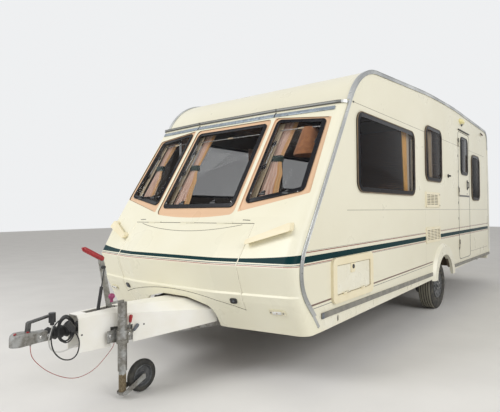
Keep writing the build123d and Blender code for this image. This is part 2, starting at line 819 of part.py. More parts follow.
with BuildPart() as axle_beam:
    with BuildSketch(Plane.YZ.offset(-arm_in)):
        with Locations((beam_y, beam_z)):
            RegularPolygon(beam_radius, 6)
    extrude(amount=2 * arm_in)
    for side in sides:
        add(trailing_arm(side))
        with Locations(Location((sides[side] * (arm_out + hub_out) / 2, axle_y, road_wheel_radius), (0, 90, 0))):
            Cylinder(stub_radius, hub_out - arm_out)
        saddle_x = span(side, rail_x - rail_flange, rail_x)
        block(saddle_x, (beam_y - saddle_half, beam_y + saddle_half), (beam_z, rail_top_z - rail_height))
save(axle_beam.part, "axle_beam")


# Road wheels: tyre, and a dished rim with its hub and brake drum
bead_inset = 22.0


def wheel_plane(side):
    # Section through the wheel: local X points outboard, local Y up from the stub axle
    sign = sides[side]
    return Plane(origin=(sign * wheel_x, axle_y, road_wheel_radius), x_dir=(sign, 0, 0), z_dir=(0, -sign, 0))


def road_tyre(side):
    half = tyre_width / 2
    with BuildPart() as tyre:
        with BuildSketch(wheel_plane(side)):
            with BuildLine():
                # Bead, bulge, shoulder and tread edge on one side, then back along the other
                edge = [(half - bead_inset, rim_radius), (half - 2, rim_radius + 26), (half - 1, rim_radius + 78),
                        (half - 8, road_wheel_radius - 16), (half - 20, road_wheel_radius)]
                Polyline(*edge, *[(-across, out) for across, out in reversed(edge)], close=True)
            make_face()
        revolve(axis=Axis((0, axle_y, road_wheel_radius), (1, 0, 0)))
    return tyre.part


def road_rim(side):
    half = tyre_width / 2 - bead_inset
    hub_from = hub_in - wheel_x
    hub_to = hub_out - wheel_x
    with BuildPart() as rim:
        with BuildSketch(wheel_plane(side)):
            with BuildLine():
                Polyline(
                    (-half, rim_radius - running_gap), (half, rim_radius - running_gap),
                    (half, rim_radius - 14), (20, rim_radius - 26), (34, 95), (20, 75), (20, 40),
                    (hub_to, 34), (hub_to, stub_radius + bearing_gap), (hub_from, stub_radius + bearing_gap),
                    (hub_from, 118), (-70, 118), (-70, 60), (8, 60), (8, 80), (22, 98), (8, rim_radius - 26),
                    (-half, rim_radius - 10), (-half, rim_radius - running_gap),
                )
            make_face()
        revolve(axis=Axis((0, axle_y, road_wheel_radius), (1, 0, 0)))
    return rim.part


for side in sides:
    save(road_tyre(side), f"tyre_{side}")
    save(road_rim(side), f"wheel_{side}")

# Coupling head: a pressed socket over the tow ball, on the overrun shaft
ball_y = nose_y + head_half_width
ball_z = head_foot_z + 22
neck_half_width = 32.0
neck_y = ball_y + 90
head_tail = nose_y + head_length
head_top_z = head_foot_z + head_height


def head_side_view():
    # Crown over the ball, falling to the neck
    with BuildSketch(Plane.YZ.offset(-head_half_width)) as view:
        with BuildLine():
            Polyline((nose_y, head_foot_z), (nose_y, head_foot_z + 34), (nose_y + 14, head_top_z - 10),
                     (nose_y + 36, head_top_z), (ball_y + 34, head_top_z), (neck_y + 20, head_top_z - 12),
                     (head_tail, head_top_z - 12), (head_tail, head_foot_z), close=True)
        make_face()
    return view.sketch


with BuildPart() as coupling_head:
    with BuildSketch(Plane.XY.offset(head_foot_z)):
        with BuildLine():
            ThreePointArc((-head_half_width, ball_y), (0, nose_y), (head_half_width, ball_y))
            Polyline((head_half_width, ball_y), (neck_half_width, neck_y), (neck_half_width, head_tail),
                     (-neck_half_width, head_tail), (-neck_half_width, neck_y), (-head_half_width, ball_y))
        make_face()
    extrude(amount=head_height)
    extrude(head_side_view(), amount=2 * head_half_width, mode=Mode.INTERSECT)
    with Locations((0, ball_y, ball_z)):
        Sphere(ball_radius + ball_play, mode=Mode.SUBTRACT)
    with Locations((0, ball_y, head_foot_z - 1)):
        Cylinder(ball_radius + ball_play, ball_z - head_foot_z + 1,
                 align=(Align.CENTER, Align.CENTER, Align.MIN), mode=Mode.SUBTRACT)
    with Locations(Location((0, head_tail, shaft_z), (-90, 0, 0))):
        Cylinder(shaft_radius, a_frame_y - head_tail - 10,
                 align=(Align.CENTER, Align.CENTER, Align.MIN))
save(coupling_head.part, "coupling_head")

# Handle that lifts the ball lock
ball_handle_width = 34.0
ball_handle_foot_y = nose_y + 92
with BuildPart() as coupling_handle:
    with BuildSketch(Plane.YZ.offset(-ball_handle_width / 2)):
        with BuildLine():
            # Cranked lever standing on the crown of the head
            Polyline((ball_handle_foot_y - 4, head_top_z - 12), (ball_handle_foot_y + 14, head_top_z - 12),
                     (ball_handle_foot_y + 20, 584), (ball_handle_foot_y + 154, 606), (ball_handle_foot_y + 158, 611),
                     (ball_handle_foot_y + 154, 616), (ball_handle_foot_y + 10, 594), (ball_handle_foot_y + 2, 586),
                     close=True)
        make_face()
    extrude(amount=ball_handle_width)
    add(coupling_head.part, mode=Mode.SUBTRACT)
save(coupling_handle.part, "coupling_handle")

# Overrun housing bolted across the noses of the rails, and the gaiter ahead of it
housing_front_y = a_frame_y - 150
ear_x = 10.0
ear_thickness = 5.0
gaiter_radius = 42.0
with BuildPart() as overrun_housing:
    with Locations(Location((0, housing_front_y, shaft_z), (-90, 0, 0))):
        Cylinder(shaft_radius + 12, a_frame_y - housing_front_y,
                 align=(Align.CENTER, Align.CENTER, Align.MIN))
    block((-70, 70), (a_frame_y - 10, a_frame_y), (rail_top_z - rail_height, shaft_z + 45))
    for low_x in (-ear_x - ear_thickness, ear_x):
        block((low_x, low_x + ear_thickness), (strut_foot[0] - 16, lever_pivot[0] + 22),
              (shaft_z + shaft_radius + 8, strut_foot[1] + 14))
    with Locations(Location((0, housing_front_y - 1, shaft_z), (-90, 0, 0))):
        Cylinder(shaft_radius + bearing_gap, a_frame_y - housing_front_y + 2,
                 align=(Align.CENTER, Align.CENTER, Align.MIN), mode=Mode.SUBTRACT)
save(overrun_housing.part, "overrun_housing")

gaiter_front_y = head_tail
gaiter_folds = 6
gaiter_fold_depth = 10.0
with BuildPart() as overrun_gaiter:
    with BuildSketch(Plane(origin=(0, 0, shaft_z), x_dir=(0, 1, 0), z_dir=(1, 0, 0))):
        with BuildLine():
            pitch = (housing_front_y - gaiter_front_y) / gaiter_folds
            points = [(gaiter_front_y, shaft_radius + running_gap)]
            for fold in range(gaiter_folds):
                points.append((gaiter_front_y + fold * pitch, gaiter_radius - gaiter_fold_depth))
                points.append((gaiter_front_y + (fold + 0.5) * pitch, gaiter_radius))
            points.append((housing_front_y, gaiter_radius - gaiter_fold_depth))
            points.append((housing_front_y, shaft_radius + running_gap))
            Polyline(*points, close=True)
        make_face()
    revolve(axis=Axis((0, 0, shaft_z), (0, 1, 0)))
save(overrun_gaiter.part, "overrun_gaiter")

# Fairing over the drawbar, an open shell
# columns: y, half width at the foot, half width of the top, foot z, shoulder z, top z
fairing_sections = [
    (fairing_front_y, 72, 45, 352, 566, 588),
    (a_frame_y + 15, 82, 50, 340, 566, 592),
    (a_frame_y + 155, 140, 56, 350, 545, 592),
    (station(-715), 372, 130, 405, 500, 560),
]
fairing_cut_y = (a_frame_y + 15, a_frame_y + 150)


def fairing_form(inset):
    with BuildPart() as form:
        last = len(fairing_sections) - 1
        for index, (y, foot, top, foot_z, shoulder_z, top_z) in enumerate(fairing_sections):
            overrun = {0: -1, last: 1}.get(index, 0) * (1 if inset else 0)
            with BuildSketch(Plane.XZ.offset(-(y + overrun))):
                with BuildLine():
                    drop = 20 if inset else 0
                    Polyline((-foot + inset, foot_z - drop), (-foot + inset + 6, shoulder_z - inset),
                             (-top, top_z - inset), (top, top_z - inset),
                             (foot - inset - 6, shoulder_z - inset), (foot - inset, foot_z - drop), close=True)
                make_face()
        loft(ruled=True)
    return form.part


lever_slot_y = (lever_pivot[0] - 200, lever_pivot[0] + 45)
with BuildPart() as drawbar_fairing:
    add(fairing_form(0))
    add(fairing_form(fairing_sheet), mode=Mode.SUBTRACT)
    block((-24, 45), lever_slot_y, (560, 620), Mode.SUBTRACT)
    block((60, 220), fairing_cut_y, (300, 470), Mode.SUBTRACT)
save(drawbar_fairing.part, "drawbar_fairing")

# Handbrake lever with its grip, and the strut that assists it
pivot_y, pivot_z = lever_pivot
lever_along = (cos(radians(lever_tilt)), sin(radians(lever_tilt)))
lever_tip = (pivot_y + lever_length * lever_along[0], pivot_z + lever_length * lever_along[1])
lever_thickness = 12.0


def on_lever(reach):
    return (pivot_y + reach * lever_along[0], pivot_z + reach * lever_along[1])


with BuildPart() as handbrake_lever:
    with BuildSketch(Plane.YZ.offset(-lever_thickness / 2)):
        with Locations(Location(on_lever(lever_length / 2), lever_tilt)):
            SlotCenterToCenter(lever_length, 38)
        with Locations(Location((lever_tip[0] - 52, lever_tip[1] + 30), 150)):
            SlotOverall(150, 30)
    extrude(amount=lever_thickness)
    with Locations(Location((0, *lever_pivot), (0, 90, 0))):
        Cylinder(12, 2 * (ear_x - running_gap))
save(handbrake_lever.part, "handbrake_lever")

strut_eye = on_lever(strut_eye_reach)
strut_run = sqrt((strut_eye[0] - strut_foot[0]) ** 2 + (strut_eye[1] - strut_foot[1]) ** 2)
strut_tilt = degrees(atan2(strut_eye[1] - strut_foot[1], strut_eye[0] - strut_foot[0]))
cylinder_length = strut_run * 0.56
strut_radius = 11.0
strut_bore = 4.0
rod_foot = 160.0


def along_strut(reach):
    return Location((strut_x, strut_foot[0] + reach * cos(radians(strut_tilt)),
                     strut_foot[1] + reach * sin(radians(strut_tilt))), (strut_tilt - 90, 0, 0))


with BuildPart() as strut_cylinder:
    with Locations(along_strut(10)):
        Cylinder(strut_radius, cylinder_length, align=(Align.CENTER, Align.CENTER, Align.MIN))
    eye_from = ear_x + ear_thickness + running_gap
    with Locations(Location(((eye_from + strut_x) / 2, *strut_foot), (0, 90, 0))):
        Cylinder(11, strut_x - eye_from)
    with Locations(along_strut(28)):
        Cylinder(strut_bore + bearing_gap, cylinder_length, align=(Align.CENTER, Align.CENTER, Align.MIN),
                 mode=Mode.SUBTRACT)
save(strut_cylinder.part, "strut_cylinder")

with BuildPart() as strut_rod:
    with Locations(along_strut(rod_foot)):
        Cylinder(strut_bore, strut_run - rod_foot, align=(Align.CENTER, Align.CENTER, Align.MIN))
    rod_eye_from = lever_thickness / 2 + running_gap
    with Locations(Location(((rod_eye_from + strut_x) / 2, *strut_eye), (0, 90, 0))):
        Cylinder(11, strut_x - rod_eye_from)
save(strut_rod.part, "strut_rod")

# Jockey wheel: clamp on the rail, outer tube with its crank, inner tube, fork and wheel
clamp_z = (368, 455)
outer_tube_z = (185, 640)
inner_tube_foot_z = 28.0
clamp_plate_y = (jockey_y - 84, jockey_y + 74)
# Foot and tip of each lever, y and z
clamp_levers = [
    ((jockey_y + 52, 440.0), (jockey_y + 67, 540.0)),
    ((jockey_y + 52, 392.0), (jockey_y + 122, 466.0)),
]
stem_radius = 4.5
grip_radius = 8.0
grip_length = 46.0


def lever_stem(foot, tip):
    # Round stem with a thicker grip at its tip
    start, end = Vector(jockey_x, *foot), Vector(jockey_x, *tip)
    along = (end - start).normalized()
    with BuildPart() as stem:
        with BuildSketch(Plane(origin=start, z_dir=along)):
            Circle(stem_radius)
        extrude(amount=(end - start).length - grip_length / 2)
        with BuildSketch(Plane(origin=end - along * grip_length, z_dir=along)):
            RegularPolygon(grip_radius, 8)
        extrude(amount=grip_length)
    return stem.part


with BuildPart() as jockey_clamp:
    with Locations((jockey_x, jockey_y, sum(clamp_z) / 2)):
        Cylinder(jockey_tube_radius + 9, clamp_z[1] - clamp_z[0])
    with BuildSketch(Plane.XY.offset(clamp_z[0])):
        with BuildLine():
            web_x = a_frame_x + (jockey_y - a_frame_y) * rail_slope + running_gap
            Polyline((web_x - 22 * rail_slope, jockey_y - 22), (web_x + 22 * rail_slope, jockey_y + 22),
                     (jockey_x, jockey_y + 22), (jockey_x, jockey_y - 22), close=True)
        make_face()
    extrude(amount=clamp_z[1] - clamp_z[0])
    # Back plate along the drawbar, and the two tightening levers on their bracket
    block((jockey_x - 48, jockey_x - 39), clamp_plate_y, (clamp_z[0] + 6, clamp_z[1]))
    block((jockey_x - 45, jockey_x + 8), (jockey_y + 24, jockey_y + 66), (clamp_z[0] + 12, clamp_z[1] - 6))
    for foot, tip in clamp_levers:
        add(lever_stem(foot, tip))
    with Locations((jockey_x, jockey_y, sum(clamp_z) / 2)):
        Cylinder(jockey_tube_radius + bearing_gap, clamp_z[1] - clamp_z[0] + 2, mode=Mode.SUBTRACT)
save(jockey_clamp.part, "jockey_clamp")

crank_reach = 80.0
crank_width = 24.0
crank_thickness = 14.0


def crank_knob(foot_z):
    # Knob turned about its own upright axis: neck, ball and a flat crown
    with BuildPart() as knob:
        with BuildSketch(Plane.XZ):
            with BuildLine():
                Polyline((0, foot_z), (9, foot_z), (7, foot_z + 20), (14, foot_z + 26), (18, foot_z + 38),
                         (14, foot_z + 50), (6, foot_z + 55), (0, foot_z + 55), close=True)
            make_face()
        revolve(axis=Axis.Z)
    return knob.part


with BuildPart() as jockey_outer_tube:
    with Locations((jockey_x, jockey_y, outer_tube_z[0])):
        Cylinder(jockey_tube_radius, outer_tube_z[1] - outer_tube_z[0],
                 align=(Align.CENTER, Align.CENTER, Align.MIN))
    with Locations((jockey_x, jockey_y, outer_tube_z[0] - 1)):
        Cylinder(jockey_inner_radius + bearing_gap, outer_tube_z[1] - outer_tube_z[0] - 9,
                 align=(Align.CENTER, Align.CENTER, Align.MIN), mode=Mode.SUBTRACT)
    # Crank on top: a flat arm with a knob standing on its end
    with BuildSketch(Plane.XY.offset(outer_tube_z[1])):
        with Locations(Location((jockey_x, jockey_y - crank_reach / 2), 90)):
            SlotCenterToCenter(crank_reach, crank_width)
    extrude(amount=crank_thickness)
    with Locations((jockey_x, jockey_y - crank_reach, 0)):
        add(crank_knob(outer_tube_z[1] + crank_thickness))
save(jockey_outer_tube.part, "jockey_outer_tube")

with BuildPart() as jockey_inner_tube:
    with Locations((jockey_x, jockey_y, inner_tube_foot_z + 20)):
        Cylinder(jockey_inner_radius, 420, align=(Align.CENTER, Align.CENTER, Align.MIN))
save(jockey_inner_tube.part, "jockey_inner_tube")

jockey_hub_y = jockey_y + jockey_trail
jockey_pin_radius = 6.0
fork_sheet = 6.0
fork_clearance = 5.0
fork_reach = jockey_wheel_width / 2 + fork_clearance + fork_sheet
fork_heel_y = (jockey_y - 18, jockey_y + 14)


def fork_arm(side):
    low_x = jockey_x + span(side, fork_reach - fork_sheet, fork_reach)[0]
    with BuildPart() as arm:
        with BuildSketch(Plane.YZ.offset(low_x)):
            with BuildLine():
                Polyline((fork_heel_y[0], inner_tube_foot_z), (fork_heel_y[1], inner_tube_foot_z),
                         (jockey_hub_y + 8, jockey_wheel_radius - 16), (jockey_hub_y + 8, jockey_wheel_radius + 16),
                         (jockey_hub_y - 12, jockey_wheel_radius + 16), (fork_heel_y[0], inner_tube_foot_z + 19),
                         close=True)
            make_face()
        extrude(amount=fork_sheet)
    return arm.part


with BuildPart() as jockey_fork:
    with Locations((jockey_x, jockey_y, inner_tube_foot_z)):
        Cylinder(jockey_inner_radius + 2, 20 - running_gap, align=(Align.CENTER, Align.CENTER, Align.MIN))
    for side in sides:
        add(fork_arm(side))
    block((jockey_x - fork_reach, jockey_x + fork_reach), fork_heel_y, (inner_tube_foot_z, inner_tube_foot_z + 8))
    with Locations(Location((jockey_x, jockey_hub_y, jockey_wheel_radius), (0, 90, 0))):
        Cylinder(jockey_pin_radius, 2 * fork_reach + 2)
save(jockey_fork.part, "jockey_fork")

with BuildPart() as jockey_wheel:
    with BuildSketch(Plane(origin=(jockey_x, jockey_hub_y, jockey_wheel_radius), x_dir=(1, 0, 0), z_dir=(0, -1, 0))):
        with BuildLine():
            # Hub, dished web, rim and tyre on one side, then back along the other
            half = jockey_wheel_width / 2
            edge = [(half - 2, jockey_pin_radius + bearing_gap), (half - 2, 20), (half - 16, 26), (half - 16, 64),
                    (half - 4, 70), (half, jockey_wheel_radius - 26), (half - 3, jockey_wheel_radius - 9),
                    (half - 13, jockey_wheel_radius)]
            Polyline(*edge, *[(-across, out) for across, out in reversed(edge)], close=True)
        make_face()
    revolve(axis=Axis((jockey_x, jockey_hub_y, jockey_wheel_radius), (1, 0, 0)))
save(jockey_wheel.part, "jockey_wheel")

# Lamps: front markers, rear clusters, side markers and the awning lamp by the door
marker_lamp = (half_width - 170, 541.0, 120.0, 34.0)  # x, z, width, height
lamp_depth = 9.0
rear_lamp = (half_width - 188, 705.0, 215.0, 130.0, 22.0)  # x, z, width, height, depth
side_marker = (body_rear_y - 494, 2493.0, 52.0, 26.0, 12.0)  # y, z, width, height, depth
awning_lamp = (3498.0, 2491.0, 92.0, 44.0, 30.0)  # station, z, width, height, depth


def front_markers():
    marker_x, marker_z, marker_width, marker_height = marker_lamp
    with BuildPart() as markers:
        add(front_form(-lamp_depth))
        add(clear_form, mode=Mode.SUBTRACT)
        with BuildSketch(front_view):
            with Locations((marker_x, marker_z), (-marker_x, marker_z)):
                RectangleRounded(marker_width, marker_height, 8)
        extrude(amount=1500, mode=Mode.INTERSECT)
    return markers.part


def rear_clusters():
    lamp_x, lamp_z, lamp_width, lamp_height, depth = rear_lamp
    with BuildPart() as clusters:
        with BuildSketch(Plane.XZ.offset(20 - body_rear_y)):
            with Locations((lamp_x, lamp_z), (-lamp_x, lamp_z)):
                RectangleRounded(lamp_width, lamp_height, 18)
        extrude(amount=-depth - 20)
        add(body_prism.part, mode=Mode.SUBTRACT)
    return clusters.part


def wall_lamp(side, middle_y, middle_z, width, height, depth):
    # Small lamp standing off the side wall, its lens sloped back at the top
    low_y = middle_y - width / 2
    near, far = sides[side] * half_width, sides[side] * (half_width + depth)
    with BuildPart() as lamp:
        with BuildSketch(Plane(origin=(0, low_y, 0), x_dir=(1, 0, 0), z_dir=(0, -1, 0))):
            with BuildLine():
                Polyline((near, middle_z - height / 2), (far, middle_z - height / 2),
                         (far, middle_z), (near + (far - near) * 0.4, middle_z + height / 2),
                         (near, middle_z + height / 2), close=True)
            make_face()
        extrude(amount=-width)
    return lamp.part


with BuildPart() as lamps:
    add(front_markers())
    add(rear_clusters())
    for side in sides:
        add(wall_lamp(side, *side_marker))
    add(wall_lamp("left", station(awning_lamp[0]), *awning_lamp[1:]))
save(lamps.part, "lamps")

# Moulded grab handles on the front corners
grab_foot = (half_width - 403, 1024.0)
grab_head = (half_width - 79, 1136.0)
grab_depth = 46.0
grab_wall = 16.0
grab_foot_height = 34.0
grab_head_height = 62.0
grab_post = 55.0
grab_tilt = degrees(atan2(grab_head[1] - grab_foot[1], grab_head[0] - grab_foot[0]))
grab_run = sqrt((grab_head[0] - grab_foot[0]) ** 2 + (grab_head[1] - grab_foot[1]) ** 2)


def grab_outline(first, last, margin):
    # Wedge that widens from its foot to its head, between two reaches along it
    with BuildSketch(front_view) as outline:
        for sign in (1, -1):
            with BuildLine(Location((sign * grab_foot[0], grab_foot[1]), sign * grab_tilt)):
                near, far = (grab_foot_height / 2 + (grab_head_height - grab_foot_height) / 2 * reach / grab_run + margin
                             for reach in (first, last))
                FilletPolyline((sign * first, -near), (sign * last, -far), (sign * last, far), (sign * first, near),
                               radius=14, close=True)
            make_face()
    return outline.sketch


def finger_gap():
    with BuildPart() as gap:
        add(front_form(grab_wall - grab_depth))
        add(front_prism(grab_outline(grab_post, grab_run - grab_post, 20)), mode=Mode.INTERSECT)
    return gap.part


with BuildPart() as grab_handles:
    add(front_form(-grab_depth))
    add(clear_form, mode=Mode.SUBTRACT)
    add(front_prism(grab_outline(0, grab_run, 0)), mode=Mode.INTERSECT)
    add(finger_gap(), mode=Mode.SUBTRACT)
save(grab_handles.part, "grab_handles")

# Rooflights
rooflight_half = 225.0  # at the foot, inside the roof
rooflight_corner = 60.0
rooflight_stations = (950.0, 3150.0)
rooflight_proud = 42.0
rooflight_foot_z = roof_crest_z - 200
rooflight_taper = 8.0


def rooflight(place):
    # Dome that draws in towards its flat crown
    with BuildPart() as dome:
        with BuildSketch(Plane.XY.offset(rooflight_foot_z)):
            with Locations((0, station(place))):
                RectangleRounded(2 * rooflight_half, 2 * rooflight_half, rooflight_corner)
        extrude(amount=roof_crest_z + 100 - rooflight_foot_z, taper=rooflight_taper)
        extrude(body_profile(-rooflight_half, rooflight_proud), amount=2 * rooflight_half, mode=Mode.INTERSECT)
        add(body_prism.part, mode=Mode.SUBTRACT)
    return dome.part


with BuildPart() as rooflights:
    for place in rooflight_stations:
        add(rooflight(place))
save(rooflights.part, "rooflights")

# Furniture that shows through the windows, as boards on the floor and lockers under the roof
board = 15.0
seam = running_gap / 2
seat_z = 900.0
seat_front_x = 520.0
with BuildPart() as cabin_space:
    extrude(body_profile(-wall_in + running_gap, -roof_thickness - running_gap), amount=2 * (wall_in - running_gap))
# columns: side, near x, far x, first station, last station, low z, high z
wall_side = wall_in - running_gap
floor_side = floor_top_z + running_gap
boards = [
    ("left", seat_front_x, seat_front_x + board, -380, 1450, floor_side, seat_z),
    ("left", seat_front_x, wall_side, -380, 1450, seat_z, seat_z + board),
    ("left", seat_front_x + board, wall_side, 1435, 1450, floor_side, seat_z),
    ("right", seat_front_x, seat_front_x + board, -380, 1450, floor_side, seat_z),
    ("right", seat_front_x, wall_side, -380, 1450, seat_z, seat_z + board),
    ("right", seat_front_x + board, wall_side, 1435, 1450, floor_side, seat_z),
    ("right", 560, 575, 1600, 3300, floor_side, 1420),
    ("right", 560, wall_side, 1600, 3300, 1420, 1450),
    ("right", 575, wall_side, 1600, 1615, floor_side, 1420),
    ("right", 575, wall_side, 3285, 3300, floor_side, 1420),
    ("left", 560, 575, 1880, 2420, floor_side, 1545),
    ("left", 560, wall_side, 1880, 2420, 1545, 1560),
    ("left", 575, wall_side, 1880, 1895, floor_side, 1545),
    ("left", 575, wall_side, 2405, 2420, wheel_box_top_z + 30, 1545),
    ("left", 590, wall_side, 1900, 2400, wheel_box_top_z + 15, 1500),
    ("left", 800, 815, 250, 3050, 2240, 2560),
    ("left", 815, wall_side, 250, 3050, 2240, 2255),
    ("left", 815, wall_side, 250, 265, 2255, 2560),
    ("left", 815, wall_side, 3035, 3050, 2255, 2560),
    ("right", 800, 815, 250, 3850, 2240, 2560),
    ("right", 815, wall_side, 250, 3850, 2240, 2255),
    ("right", 815, wall_side, 250, 265, 2255, 2560),
    ("right", 815, wall_side, 3835, 3850, 2255, 2560),
]
with BuildPart() as furniture:
    for side, near, far, first, last, low, high in boards:
        block(span(side, near + seam, far - seam), (station(first) + seam, station(last) - seam),
              (low + seam, high - seam))
    block((-300, 300), (station(35), station(50)), (floor_side, 1085 - running_gap))
    block((-300, 300), (station(-425), station(50)), (1085, 1100))
    block((-wall_side, wall_side), (station(3950), station(3968)), (floor_side, roof_crest_z))
    block((-wall_side, wall_side), (station(-440), station(-425) - running_gap), (floor_side, 1180))
    add(cabin_space.part, mode=Mode.INTERSECT)
    block((-1000, 1000), (station(-665), station(-440)), (588, 600))
save(furniture.part, "furniture")

back_x = wall_in - 115.0
seat_y = (station(-370), station(1430))
with BuildPart() as seat_cushions:
    for side in sides:
        block(span(side, seat_front_x + 20, back_x), seat_y, (seat_z + board + running_gap, seat_z + 135))
        block(span(side, back_x + running_gap, wall_in - 20), (seat_y[0] + 30, seat_y[1]),
              (seat_z + board + running_gap, 1350))
save(seat_cushions.part, "seat_cushions")

with BuildPart() as curtains:
    for side in sides:
        for first, last in ((192, 330), (1360, 1498)):
            block(span(side, wall_in - 40, wall_in - running_gap), (station(first), station(last)), (1370, 2110))
save(curtains.part, "curtains")

# Leads and the breakaway cable, as tubes of straight runs joined by arcs
cable_diameter = 4.0
lead_diameter = 8.0
cord_sides = 8


# The routes' numbers hold for a nose at y -3635 and go with it
route_shift = nose_y + 3635.0


def carried(*points):
    return [(x, y + route_shift, z) for x, y, z in points]


def route_radii(points):
    # Each arc is as large as its two runs allow
    radii = []
    for before, here, after in zip(points, points[1:], points[2:]):
        first = Vector(*here) - Vector(*before)
        second = Vector(*after) - Vector(*here)
        turn = radians(first.get_angle(second))
        radii.append(0.45 * min(first.length, second.length) / tan(turn / 2))
    return radii


def tube(points, diameter, name):
    radii = route_radii(points)
    first, second = Vector(*points[0]), Vector(*points[1])
    with BuildPart() as cord:
        with BuildLine() as route:
            FilletPolyline(*points, radius=radii)
        with BuildSketch(Plane(origin=first, z_dir=second - first)):
            RegularPolygon(diameter / 2, cord_sides)
        sweep(path=route.line)
    print(name, "length", round(sum(edge.length for edge in route.edges())), "radii", [round(radius) for radius in radii])
    return cord.part


# Breakaway cable from a clip under the head to one under the right rail, clear of the jockey wheel's swivel
clip_radius = 5.0
head_clip = (22.0, nose_y + 104)
rail_clip = (-88.0, a_frame_y + 154)
rail_foot_z = rail_top_z - rail_height
head_clip_z = head_foot_z - 10
rail_clip_z = rail_foot_z - 20
cable_route = [
    (*head_clip, head_clip_z), (*head_clip, 410),
    *carried((18, -3506, 361), (11, -3471, 320), (3, -3433, 281), (-6, -3390, 246), (-17, -3346, 216),
             (-29, -3299, 188), (-43, -3250, 165), (-58, -3201, 150), (-76, -3152, 143), (-97, -3100, 141),
             (-109, -3048, 151), (-116, -2999, 178), (-115, -2957, 214), (-107, -2923, 252)),
    (*rail_clip, 294), (*rail_clip, rail_clip_z),
]
save(tube(cable_route, cable_diameter, "breakaway_cable"), "breakaway_cable")
with BuildPart() as breakaway_clips:
    with Locations((*head_clip, (head_clip_z + head_foot_z) / 2)):
        Cylinder(clip_radius, head_foot_z - head_clip_z)
    with Locations((*rail_clip, rail_clip_z)):
        Cylinder(clip_radius, rail_foot_z - rail_clip_z, align=(Align.CENTER, Align.CENTER, Align.MIN))
save(breakaway_clips.part, "breakaway_clips")

# Road leads: glands on the housing plate, the hank over the coupling, and two plugs
hank_x = (46.0, 80.0)
hank_y = (route_shift - 3395, route_shift - 3285)
hank_z = (420.0, 620.0)
with BuildPart() as lead_hank:
    with BuildSketch(Plane.YZ.offset(hank_x[0])):
        with Locations(Location((sum(hank_y) / 2, sum(hank_z) / 2), 90)):
            SlotOverall(hank_z[1] - hank_z[0], hank_y[1] - hank_y[0])
            SlotOverall(hank_z[1] - hank_z[0] - 64, hank_y[1] - hank_y[0] - 64, mode=Mode.SUBTRACT)
    extrude(amount=hank_x[1] - hank_x[0])
save(lead_hank.part, "lead_hank")

gland_length = 14.0
gland_y = a_frame_y - 10
black_gland = (50.0, 480.0)
grey_gland = (40.0, 430.0)
with BuildPart() as lead_glands:
    for x, z in (black_gland, grey_gland):
        with Locations(Location((x, gland_y, z), (90, 0, 0))):
            Cylinder(9, gland_length, align=(Align.CENTER, Align.CENTER, Align.MIN))
save(lead_glands.part, "lead_glands")

tail_route = [
    (50, gland_y - gland_length, 480),
    *carried((50, -3126, 480), (51, -3176, 486), (52, -3230, 490), (52, -3285, 490)),
]
save(tube(tail_route, lead_diameter, "black_lead_tail"), "black_lead_tail")
loop_route = carried(
    (74, -3395, 540), (74, -3412, 540), (78, -3432, 522), (84, -3440, 480), (88, -3434, 430), (92, -3414, 382),
    (97, -3378, 346), (102, -3334, 330), (106, -3300, 346), (108, -3281, 384), (108, -3276, 432),
    (108, -3288, 474), (108, -3312, 508),
)
save(tube(loop_route, lead_diameter, "black_lead_loop"), "black_lead_loop")
grey_route = [
    (40, gland_y - gland_length, 430),
    *carried((40, -3132, 430), (43, -3184, 420), (49, -3238, 406), (57, -3292, 394), (63, -3344, 386),
             (66, -3396, 388), (66, -3434, 414), (64, -3446, 458), (61, -3438, 504), (60, -3422, 532), (60, -3422, 562)),
]
save(tube(grey_route, lead_diameter, "grey_lead"), "grey_lead")

plug_radius = 20.0
plug_length = 74.0


def plug(route):
    # Round plug whose back face meets the end of its lead
    before, end = Vector(*route[-2]), Vector(*route[-1])
    along = (end - before).normalized()
    with BuildPart() as body:
        with BuildSketch(Plane(origin=end, z_dir=along)):
            Circle(12)
        extrude(amount=16)
        with BuildSketch(Plane(origin=end + along * 16, z_dir=along)):
            Circle(plug_radius)
        extrude(amount=plug_length - 16)
    return body.part


save(plug(loop_route), "black_plug")
save(plug(grey_route), "grey_plug")
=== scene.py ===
from math import cos, pi, radians, sin
import bpy
from mathutils import Matrix, Vector


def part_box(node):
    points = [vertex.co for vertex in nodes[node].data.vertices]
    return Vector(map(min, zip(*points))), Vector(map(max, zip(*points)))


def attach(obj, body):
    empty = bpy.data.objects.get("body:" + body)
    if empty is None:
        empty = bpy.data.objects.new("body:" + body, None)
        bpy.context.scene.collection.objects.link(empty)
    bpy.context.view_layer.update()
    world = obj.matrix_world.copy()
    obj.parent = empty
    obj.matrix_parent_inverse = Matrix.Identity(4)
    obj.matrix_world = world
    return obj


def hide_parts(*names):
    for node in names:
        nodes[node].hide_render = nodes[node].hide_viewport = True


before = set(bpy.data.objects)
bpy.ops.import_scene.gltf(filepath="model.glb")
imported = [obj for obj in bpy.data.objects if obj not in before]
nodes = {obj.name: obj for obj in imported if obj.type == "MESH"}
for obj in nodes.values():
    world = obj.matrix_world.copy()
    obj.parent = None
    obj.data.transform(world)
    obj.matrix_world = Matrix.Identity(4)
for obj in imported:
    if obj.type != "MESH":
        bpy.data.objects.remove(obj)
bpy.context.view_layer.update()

print("frame loaded,", len(nodes), "nodes")

# The caravan's own places, in metres
van = {
    "gutterY": -1.62,  # the gutter over the front windows, where stations start
    "halfWidth": 1.125,
    "axleY": 0.905,
    "wheelRadius": 0.295,
    "wheelX": 0.978,
}


bothSides = (("left", 1), ("right", -1))


def stationY(millimetres):
    return van["gutterY"] + millimetres / 1000


# Camera where the photograph was taken
view = {
    "place": (2.791, -4.767, 1.240),
    "yaw": 35.98,
    "pitch": 1.20,
    "roll": -0.48,
    "focalPixels": 441.1,
    "centrePixel": (285, 202),
    "frame": (500, 412),
}


